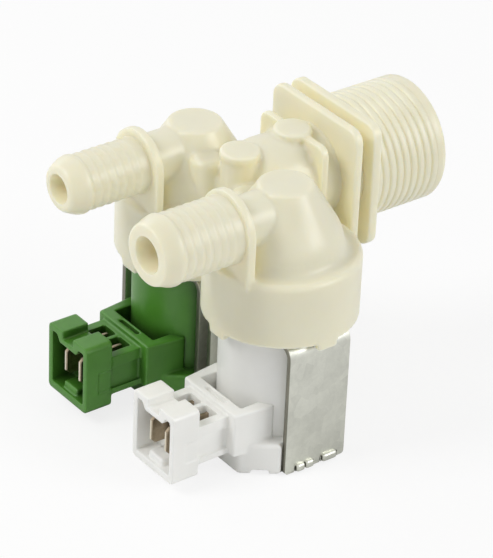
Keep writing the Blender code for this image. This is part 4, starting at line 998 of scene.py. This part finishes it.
@dataclass
class CoilCase(WayPart):
    """One coil's overmoulding with its base skirt, root, neck and connector head."""

    radius: float = 12.1
    bottom: float = 1.5
    top: float = 28.5
    front: float = 30.5
    head_back: float = 24.1
    head_half: float = 6.9
    head_low: float = 2.4
    socket_half: float = 5.5
    socket_floor: float = 4.2
    socket_wall: float = 1.6
    socket_back: float = 25.3
    key_half: float = 1.8
    key_depth: float = 1.9
    rib_half: float = 2.4
    neck_half: float = 5.9
    neck_low: float = 5.0
    neck_top: float = 13.9
    ledge_half: float = 6.6
    root_front: float = 16.8
    root_top: float = 14.9
    skirt_top: float = 7.2
    tab_x: float = 2.5
    skin: float = 0.22

    def forms(self) -> list[BMesh]:
        """Makes neck, ledges, root, skirt and head, before they are hollowed.

        Returns:
            The forms that fuse, the neck first.
        """
        head = upright((-self.head_half, -self.front, self.head_low),
                       (self.head_half, -self.head_back, self.way.head_top), 1.0, 0.2, 1)
        behind, ahead = -self.head_back - 1.0, -self.root_front + 1.0
        neck = block((-self.neck_half, behind, self.neck_low),
                     (self.neck_half, ahead, self.neck_top))
        ledge = block((-self.ledge_half, behind, 11.4), (self.ledge_half, ahead, self.neck_top))
        foot = block((-self.ledge_half, behind, self.neck_low), (self.ledge_half, ahead, 6.4))
        root = prism(both_sides([(8.6, -self.root_front), (9.7, -7.8)]), self.neck_low,
                     self.root_top, 0.35)
        skirt = prism(both_sides([(7.9, -15.1), (13.2, -7.8)]), 0.0, self.skirt_top, 0.7)
        inner = prism(both_sides([(12.1, -8.2), (12.1, 6.5), (9.6, 9.0)]), self.bottom,
                      self.skirt_top)
        return [neck, ledge, foot, root, skirt, inner, head]

    def cuts(self) -> list[BMesh]:
        """Makes socket, key slot, root slot, underside, neck windows, tab slots and arches.

        Returns:
            The shapes to cut away.
        """
        key = block((-self.key_half, -self.front - 1.0, self.way.head_top - self.key_depth),
                    (self.key_half, -self.head_back + 1.0, 19.5))
        underside = prism(both_sides([(6.9, -13.8), (11.7, -7.1), (11.7, -1.0)]), -1.0,
                          self.bottom)
        tools = [self.socket(), key, block((-3.25, -15.55, 13.7), (3.25, -14.65, 16.0)),
                 underside, block((-13.3, -7.9, -1.0), (13.3, 0.0, self.bottom))]
        for side in (-1, 1):
            inner, outer = sorted((side * 0.5, side * 4.6))
            tools.append(block((inner, -self.head_back, 7.0), (outer, -18.1, 15.0)))
            near, far = sorted((side * self.ledge_half, side * 8.0))
            tools.append(block((near, -27.5, 6.4), (far, -self.head_back, 11.3)))
            middle = side * self.tab_x
            tools.append(block((middle - 0.7, -26.3, 8.65), (middle + 0.7, -23.1, 11.75)))
            arch = block((-1.85, -4.0, -1.0), (1.85, 4.0, 1.1), 0.5, 3)
            turn = Matrix.Rotation(side * math.atan2(7.3, 5.3), 4, "Z")
            tools.append(moved(arch, Matrix.Translation((side * 10.55, -11.45, 0)) @ turn))
        return tools

    def socket(self) -> BMesh:
        """Makes the connector's mouth, lower in the middle under the key slot.

        Returns:
            The shape to cut away.
        """
        half, roof = self.socket_half, self.way.head_top - self.socket_wall
        outline = both_sides([(half, self.socket_floor), (half, roof), (3.9, roof),
                              (2.9, roof - 1.5)])
        return moved(prism(outline, self.socket_back, self.front + 1.0), Facing.FRONT.matrix())

    def well(self) -> BMesh:
        """Makes the narrow well between the root's bar and the round case.

        Returns:
            The shape to cut away.
        """
        tool = as_object("well", block((-6.8, -14.0, 7.0), (6.8, -6.0, 16.0)))
        combine(tool, [rod(self.radius - 0.6, 0.0, 17.0, 96)], Join.CUT)
        return as_shape(tool)

    def build(self) -> Object:
        """Makes the case as one piece.

        Returns:
            The finished piece.
        """
        forms = self.forms()
        case = as_object(self.way.name + "_case", forms[0])
        combine(case, forms[1:], Join.ADD)
        combine(case, self.cuts(), Join.CUT)
        combine(case, [self.well()], Join.CUT)
        rib = block((-self.rib_half, -self.front + 0.8, 3.6), (self.rib_half, -24.6, 5.7), 0.5)
        combine(case, [rib], Join.ADD)
        soften(case, self.skin, 2)
        section = [(0.0, self.top)] + arc((self.radius - 0.8, self.top - 0.8), 0.8, 90, 0, 5)
        section += [(self.radius, self.bottom), (0.0, self.bottom)]
        combine(case, [turned(section, 128)], Join.ADD)
        winding = turned([(10.9, 27.0), (10.9, 3.0), (6.6, 3.0), (6.6, 27.0)], 96, ring=True)
        combine(case, [winding, rod(7.65, -1.0, 29.5, 96)], Join.CUT)
        return self.put(case, f"{self.way.name}_coil_resin", self.way.resin, "coil_case")


@dataclass
class Yoke(WayPart):
    """The steel U strip and its closing plate with staked tenons."""

    half_width: float = 13.65
    half_depth: float = 7.5
    height: float = 30.0
    sheet: float = 1.2
    bend: float = 3.0
    tenons: tuple[tuple[float, float], ...] = ((-4.8, -0.5), (1.6, 5.4))
    play: float = 0.3
    head_reach: float = 0.75
    head_top: float = 1.85

    def frame(self) -> Object:
        """Folds the U strip: rolled corners, a hole in its web, notches at its feet.

        Returns:
            The strip, in mm from the way's axis.
        """
        bm = bmesh.new()
        size = Matrix.Diagonal((2 * self.half_width, 2 * self.half_depth, self.height, 1.0))
        bmesh.ops.create_cube(bm, size=1.0,
                              matrix=Matrix.Translation((0, 0, self.height / 2)) @ size)
        gone = [f for f in bm.faces if abs(f.normal.y) > 0.9 or f.normal.z < -0.9]
        bmesh.ops.delete(bm, geom=gone, context="FACES")
        corners = [e for e in bm.edges if all(v.co.z > self.height - 0.01 for v in e.verts)
                   and abs((e.verts[0].co - e.verts[1].co).normalized().y) > 0.9]
        round_edges(bm, corners, self.bend, 10)
        bmesh.ops.recalc_face_normals(bm, faces=bm.faces)
        if sum(f.normal.z * f.calc_area() for f in bm.faces) < 0:
            bmesh.ops.reverse_faces(bm, faces=bm.faces)
        bmesh.ops.solidify(bm, geom=bm.faces[:], thickness=self.sheet)
        bmesh.ops.recalc_face_normals(bm, faces=bm.faces)
        sharp = [e for e in bm.edges if len(e.link_faces) == 2 and e.calc_face_angle() > 1.0]
        round_edges(bm, sharp, 0.14, 2)
        obj = as_object(self.way.name + "_yoke_strip", bm)
        cuts = self.foot_corners() + [rod(5.45, 27.0, 31.0, 64)]
        for side in (-1, 1):
            for start, end in self.tenons:
                low, high = sorted((side * (self.half_width - 2.4), side * (self.half_width + 1)))
                cuts.append(block((low, start - self.play, -1.0),
                                  (high, end + self.play, self.sheet + self.play), 0.25, 2))
        combine(obj, cuts, Join.CUT)
        return obj

    def foot_corners(self) -> list[BMesh]:
        """Makes what is trimmed off the legs' lower corners to round them by 1 mm.

        Returns:
            One shape for the front corners and one for the rear.
        """
        tools = []
        edge = self.half_depth - 1.0
        for half_turn in (math.pi, 0.0):
            holder = as_object("corner", block((-20.0, edge, -1.0), (20.0, edge + 2.0, 1.0)))
            lie = Matrix.Translation((0, edge, 1.0)) @ Matrix.Rotation(math.pi / 2, 4, "Y")
            combine(holder, [moved(rod(1.0, -21.0, 21.0, 32), lie)], Join.CUT)
            tools.append(moved(as_shape(holder), Matrix.Rotation(half_turn, 4, "Z")))
        return tools

    def stake(self, start: float, end: float) -> list[BMesh]:
        """Makes the upset heads of one tenon at the +X leg, as the staking tool leaves them.

        Args:
            start: front end of the tenon.
            end: rear end of the tenon.

        Returns:
            Two heads on the front tenon, one on the rear.
        """
        spans = [(start + 0.1, end - 0.1)]
        if start < 0:
            middle = (start + end) / 2
            spans = [(start - 0.05, middle - 0.1), (middle + 0.1, end + 0.05)]
        return [block((self.half_width - 0.9, low, 0.1),
                      (self.half_width + self.head_reach, high, self.head_top), 0.55, 4)
                for low, high in spans]

    def plate(self) -> Object:
        """Makes the closing plate with its tenons.

        Returns:
            The plate, in mm from the way's axis.
        """
        side, tip = self.half_width - self.sheet - self.play, self.half_width - 0.1
        base = block((-side, -self.half_depth, 0.0), (side, self.half_depth, self.sheet), 0.12, 2)
        obj = as_object(self.way.name + "_yoke_base", base)
        forms = []
        for start, end in self.tenons:
            forms.append(block((-tip, start, 0.0), (tip, end, self.sheet), 0.1, 1))
            forms += self.stake(start, end)
            for head in self.stake(start, end):
                bmesh.ops.rotate(head, cent=(0, (start + end) / 2, 0),
                                 matrix=Matrix.Rotation(math.pi, 3, "Z"), verts=head.verts)
                forms.append(head)
        combine(obj, forms, Join.ADD)
        combine(obj, [rod(5.1, -1.0, 2.0, 64)], Join.CUT)
        return obj

    def build(self) -> None:
        """Makes both pieces."""
        self.put(self.frame(), "steel", "zinc", "yoke_frame")
        self.put(self.plate(), "steel", "zinc", "yoke_plate")


@dataclass
class Terminals(WayPart):
    """The two tabs of one connector, their winding posts and the wire on them."""

    tab_x: float = 2.5
    tip: float = 29.2
    centre_z: float = 10.2
    half_sheet: float = 0.4
    half_blade: float = 3.15
    wire_thick: float = 0.16
    wire_turns: int = 4

    def tab(self, x: float) -> list[BMesh]:
        """Makes one flat tab, its tail and its upright post.

        Args:
            x: middle of the tab's sheet.

        Returns:
            Three forms that fuse, the blade first.
        """
        z, low, high = self.centre_z, x - self.half_sheet, x + self.half_sheet
        blade = block((low, -self.tip, z - self.half_blade), (high, -25.6, z + self.half_blade))
        front = [e for e in blade.edges if all(v.co.y < -self.tip + 0.01 for v in e.verts)]
        level = [e for e in front if abs(e.verts[0].co.z - e.verts[1].co.z) < 0.01]
        round_edges(blade, level, 0.9, 1)
        nose = [e for e in blade.edges if all(v.co.y < -self.tip + 1.0 for v in e.verts)
                and abs(e.verts[0].co.x - e.verts[1].co.x) < 0.01]
        round_edges(blade, nose, 0.18, 1)
        tail = block((low, -25.8, z - 1.25), (high, -18.9, z + 1.25))
        return [blade, tail, block((low, -21.5, z - 1.2), (high, -18.9, z + 3.2), 0.12, 2)]

    def build(self) -> None:
        """Makes both tabs and winds the wire round their posts."""
        for side, label in ((-1, "left"), (1, "right")):
            blade, *rest = self.tab(side * self.tab_x)
            obj = as_object(f"{self.way.name}_tab_{label}", blade)
            combine(obj, rest, Join.ADD)
            self.put(obj, "tinned_brass", "tin", f"terminal_{label}", 30.0)
            self.wire(side * self.tab_x, label)

    def wire(self, x: float, label: str) -> None:
        """Winds the coil's wire end in close oblong turns round the foot of a post.

        Args:
            x: middle of the post.
            label: which tab it is on, for the piece's name.
        """
        bm = bmesh.new()
        thick, steps = self.wire_thick, 32
        start = Matrix.Translation((0.52, 0, 0)) @ Matrix.Rotation(math.pi / 2, 4, "X")
        ring = bmesh.ops.create_circle(bm, cap_ends=False, radius=thick / 2, segments=6,
                                       matrix=start)
        bmesh.ops.spin(bm, geom=ring["verts"] + bm.edges[:], cent=(0, 0, 0), axis=(0, 0, 1),
                       dvec=(0, 0, thick * 1.1 / steps), angle=math.tau * self.wire_turns,
                       steps=steps * self.wire_turns, use_merge=False)
        bmesh.ops.holes_fill(bm, edges=bm.edges[:], sides=6)
        bmesh.ops.scale(bm, vec=(1.0, 2.75, 1.0), verts=bm.verts)
        bmesh.ops.recalc_face_normals(bm, faces=bm.faces)
        bmesh.ops.translate(bm, vec=(x + self.way.x, -20.2, self.centre_z + 1.36), verts=bm.verts)
        obj = as_object(f"{self.way.name}_wire_{label}", bm)
        self.place.finish(obj, "root", "copper", self.workshop["solder"])


@dataclass
class ReturnSpring(WayPart):
    """The plunger's round-wire return spring, which shortens as the plunger comes down."""

    radius: float = 1.7
    wire: float = 0.3
    open_turns: int = 4
    travel: float = 2.5

    def coil(self, bm: BMesh, ends: list, turns: int, rise: float) -> list:
        """Winds turns on from the wire's last ring.

        Args:
            bm: the spring so far.
            ends: vertices and edges of its last ring.
            turns: how many turns to add.
            rise: how high they climb, in mm.

        Returns:
            The new last ring.
        """
        steps = 40 * turns
        wound = bmesh.ops.spin(bm, geom=ends, cent=(0, 0, 0), axis=(0, 0, 1),
                               dvec=(0, 0, rise / steps), angle=math.tau * turns, steps=steps,
                               use_merge=False)
        return wound["geom_last"]

    def build(self) -> None:
        """Winds the spring between its solid's ends."""
        name = f"{self.way.name}_plunger_spring"
        low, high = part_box(name)
        length = (high.z - low.z) / MM
        closed = 2.5 * self.wire
        bm = bmesh.new()
        start = Matrix.Translation((self.radius, 0, 0)) @ Matrix.Rotation(math.pi / 2, 4, "X")
        ring = bmesh.ops.create_circle(bm, cap_ends=False, radius=self.wire, segments=12,
                                       matrix=start)
        geom = ring["verts"] + bm.edges[:]
        for turns, rise in ((1, closed), (self.open_turns, length - 2 * self.wire - 2 * closed),
                            (1, closed)):
            geom = self.coil(bm, geom, turns, rise)
        bmesh.ops.holes_fill(bm, edges=bm.edges[:], sides=12)
        bmesh.ops.recalc_face_normals(bm, faces=bm.faces)
        foot = (self.way.x, 0, low.z / MM + self.wire)
        bmesh.ops.translate(bm, vec=foot, verts=bm.verts)
        obj = as_object(f"{name}_coil", bm)
        self.place.finish(obj, "root", "steel", self.workshop["bright_steel"], [name])
        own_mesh(obj)


@dataclass(frozen=True)
class Insides:
    """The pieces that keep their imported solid, with their finishes."""

    workshop: Workshop
    finishes: tuple[tuple[str, str], ...] = (
        ("coil_bobbin", "bobbin"), ("coil_winding", "copper"), ("flux_sleeve", "bright_steel"),
        ("guide_tube", "acetal"), ("plunger_seal", "rubber"), ("plunger", "bright_steel"),
        ("diaphragm_insert", "acetal"), ("diaphragm", "rubber"), ("inlet_filter", "acetal"),
        ("flow_regulator_carrier", "acetal"), ("flow_regulator_washer", "rubber"))

    def dress(self, nodes: dict[str, Object]) -> None:
        """Gives each shown CAD node its finish.

        Args:
            nodes: the frame's objects by node name.
        """
        for name, obj in nodes.items():
            if obj.hide_render:
                continue
            key = next(finish for part, finish in self.finishes if part in name)
            for spot in obj.material_slots:
                spot.material = self.workshop[key]
            if not obj.material_slots:
                obj.data.materials.append(self.workshop[key])
            LOG.info("%s keeps its solid", name)


@dataclass(frozen=True)
class Studio:
    """Camera, lamps, white surround and floor."""

    row_y: float
    azimuth: float = 51.945
    elevation: float = 31.331
    roll: float = 2.577
    distance: float = 645.26
    shift_x: float = -2.426
    aim_z: float = 29.031
    focal_px: float = 3180.97
    frame_px: float = 558.0
    sensor_mm: float = 36.0
    lamp_aim_z: float = 0.03

    def camera(self) -> None:
        """Places the camera where the photograph was taken from."""
        a, e, r = (math.radians(v) for v in (self.azimuth, self.elevation, self.roll))
        back = Vector((math.sin(a) * math.cos(e), -math.cos(a) * math.cos(e), math.sin(e)))
        side = Vector((math.cos(a), math.sin(a), 0.0))
        over = back.cross(side)
        right = math.cos(r) * side + math.sin(r) * over
        up = math.cos(r) * over - math.sin(r) * side
        spot = Vector((0, 0, self.aim_z)) + self.distance * back - self.shift_x * right
        lens = bpy.data.cameras.new("camera")
        lens.sensor_width = self.sensor_mm
        lens.lens = self.focal_px * lens.sensor_width / self.frame_px
        lens.clip_end = 10.0
        camera = bpy.data.objects.new("camera", lens)
        turn = Matrix((right, up, back)).transposed().to_4x4()
        camera.matrix_world = Matrix.Translation(spot * MM + Vector((0, self.row_y, 0))) @ turn
        bpy.context.scene.collection.objects.link(camera)
        bpy.context.scene.camera = camera

    def lamp(self, name: str, spot: Corner, size: float, power: float) -> None:
        """Hangs a square soft lamp that faces the valve.

        Args:
            name: the lamp's name.
            spot: where it hangs, in metres.
            size: its side, in metres.
            power: in watts.
        """
        light = bpy.data.lights.new(name, "AREA")
        light.size = size
        light.energy = power
        obj = bpy.data.objects.new(name, light)
        obj.location = spot
        obj.rotation_mode = "QUATERNION"
        away = Vector(spot) - Vector((0, 0, self.lamp_aim_z))
        obj.rotation_quaternion = away.to_track_quat("Z", "Y")
        bpy.context.scene.collection.objects.link(obj)

    def surround(self) -> None:
        """Makes a world that lights softly and shows white to the camera and in reflections."""
        world = bpy.data.worlds.new("studio")
        bpy.context.scene.world = world
        world.use_nodes = True
        tree = world.node_tree
        tree.nodes.clear()
        rays = node(tree, "LightPath")
        seen = node(tree, "Math", {"operation": "MAXIMUM"}, {
            0: rays.outputs["Is Camera Ray"], 1: rays.outputs["Is Transmission Ray"]})
        shown = node(tree, "Math", {"operation": "MAXIMUM"}, {
            0: seen.outputs[0], 1: rays.outputs["Is Glossy Ray"]})
        soft = node(tree, "Background", {}, {"Color": (1, 1, 1, 1), "Strength": 0.45})
        white = node(tree, "Background", {}, {"Color": (1, 1, 1, 1), "Strength": 1.0})
        both = node(tree, "MixShader", {}, {
            0: shown.outputs[0], 1: soft.outputs[0], 2: white.outputs[0]})
        node(tree, "OutputWorld", {}, {"Surface": both.outputs[0]})

    def floor(self) -> None:
        """Lays a white floor that keeps a faint shadow."""
        bm = bmesh.new()
        bmesh.ops.create_grid(bm, x_segments=1, y_segments=1, size=2.0,
                              matrix=Matrix.Translation((0, 0, -0.0002)))
        obj = as_object("floor", bm)
        material, tree, _ = fresh("white_studio_paper")
        rays = node(tree, "LightPath")
        paper = node(tree, "BsdfDiffuse", {}, {"Color": linear("#F4F4F4")})
        glow = node(tree, "Emission", {}, {"Color": (1, 1, 1, 1), "Strength": 1.0})
        faint = node(tree, "MixShader", {}, {
            0: 0.8, 1: paper.outputs[0], 2: glow.outputs[0]})
        pick = node(tree, "MixShader", {}, {
            0: rays.outputs["Is Camera Ray"], 1: paper.outputs[0], 2: faint.outputs[0]})
        node(tree, "OutputMaterial", {}, {"Surface": pick.outputs[0]})
        obj.data.materials.append(material)

    def build(self) -> None:
        """Sets the whole studio."""
        bpy.context.scene.view_settings.view_transform = "Standard"
        self.camera()
        self.surround()
        self.floor()
        self.lamp("front_lamp", (-0.22, -0.70, 0.82), 0.36, 4.6)
        self.lamp("right_lamp", (0.90, 0.60, 0.62), 0.60, 5.6)
        self.lamp("left_lamp", (-0.9, -0.2, 0.5), 0.8, 2.3)


def main() -> None:
    """Loads the solids and dresses them."""
    logging.basicConfig(level=logging.INFO, format="%(name)s %(message)s")
    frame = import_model()
    low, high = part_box("white_yoke_frame")
    place = Place((low.y + high.y) / 2)
    workshop = Workshop.open()
    Studio(place.row_y).build()
    BodyMoulding(place, workshop).build()
    for way in WAYS:
        CoilCase(place, workshop, way).build()
        Yoke(place, workshop, way).build()
        Terminals(place, workshop, way).build()
        ReturnSpring(place, workshop, way).build()
    Insides(workshop).dress(frame["nodes"])


if __name__ == "__main__":
    main()
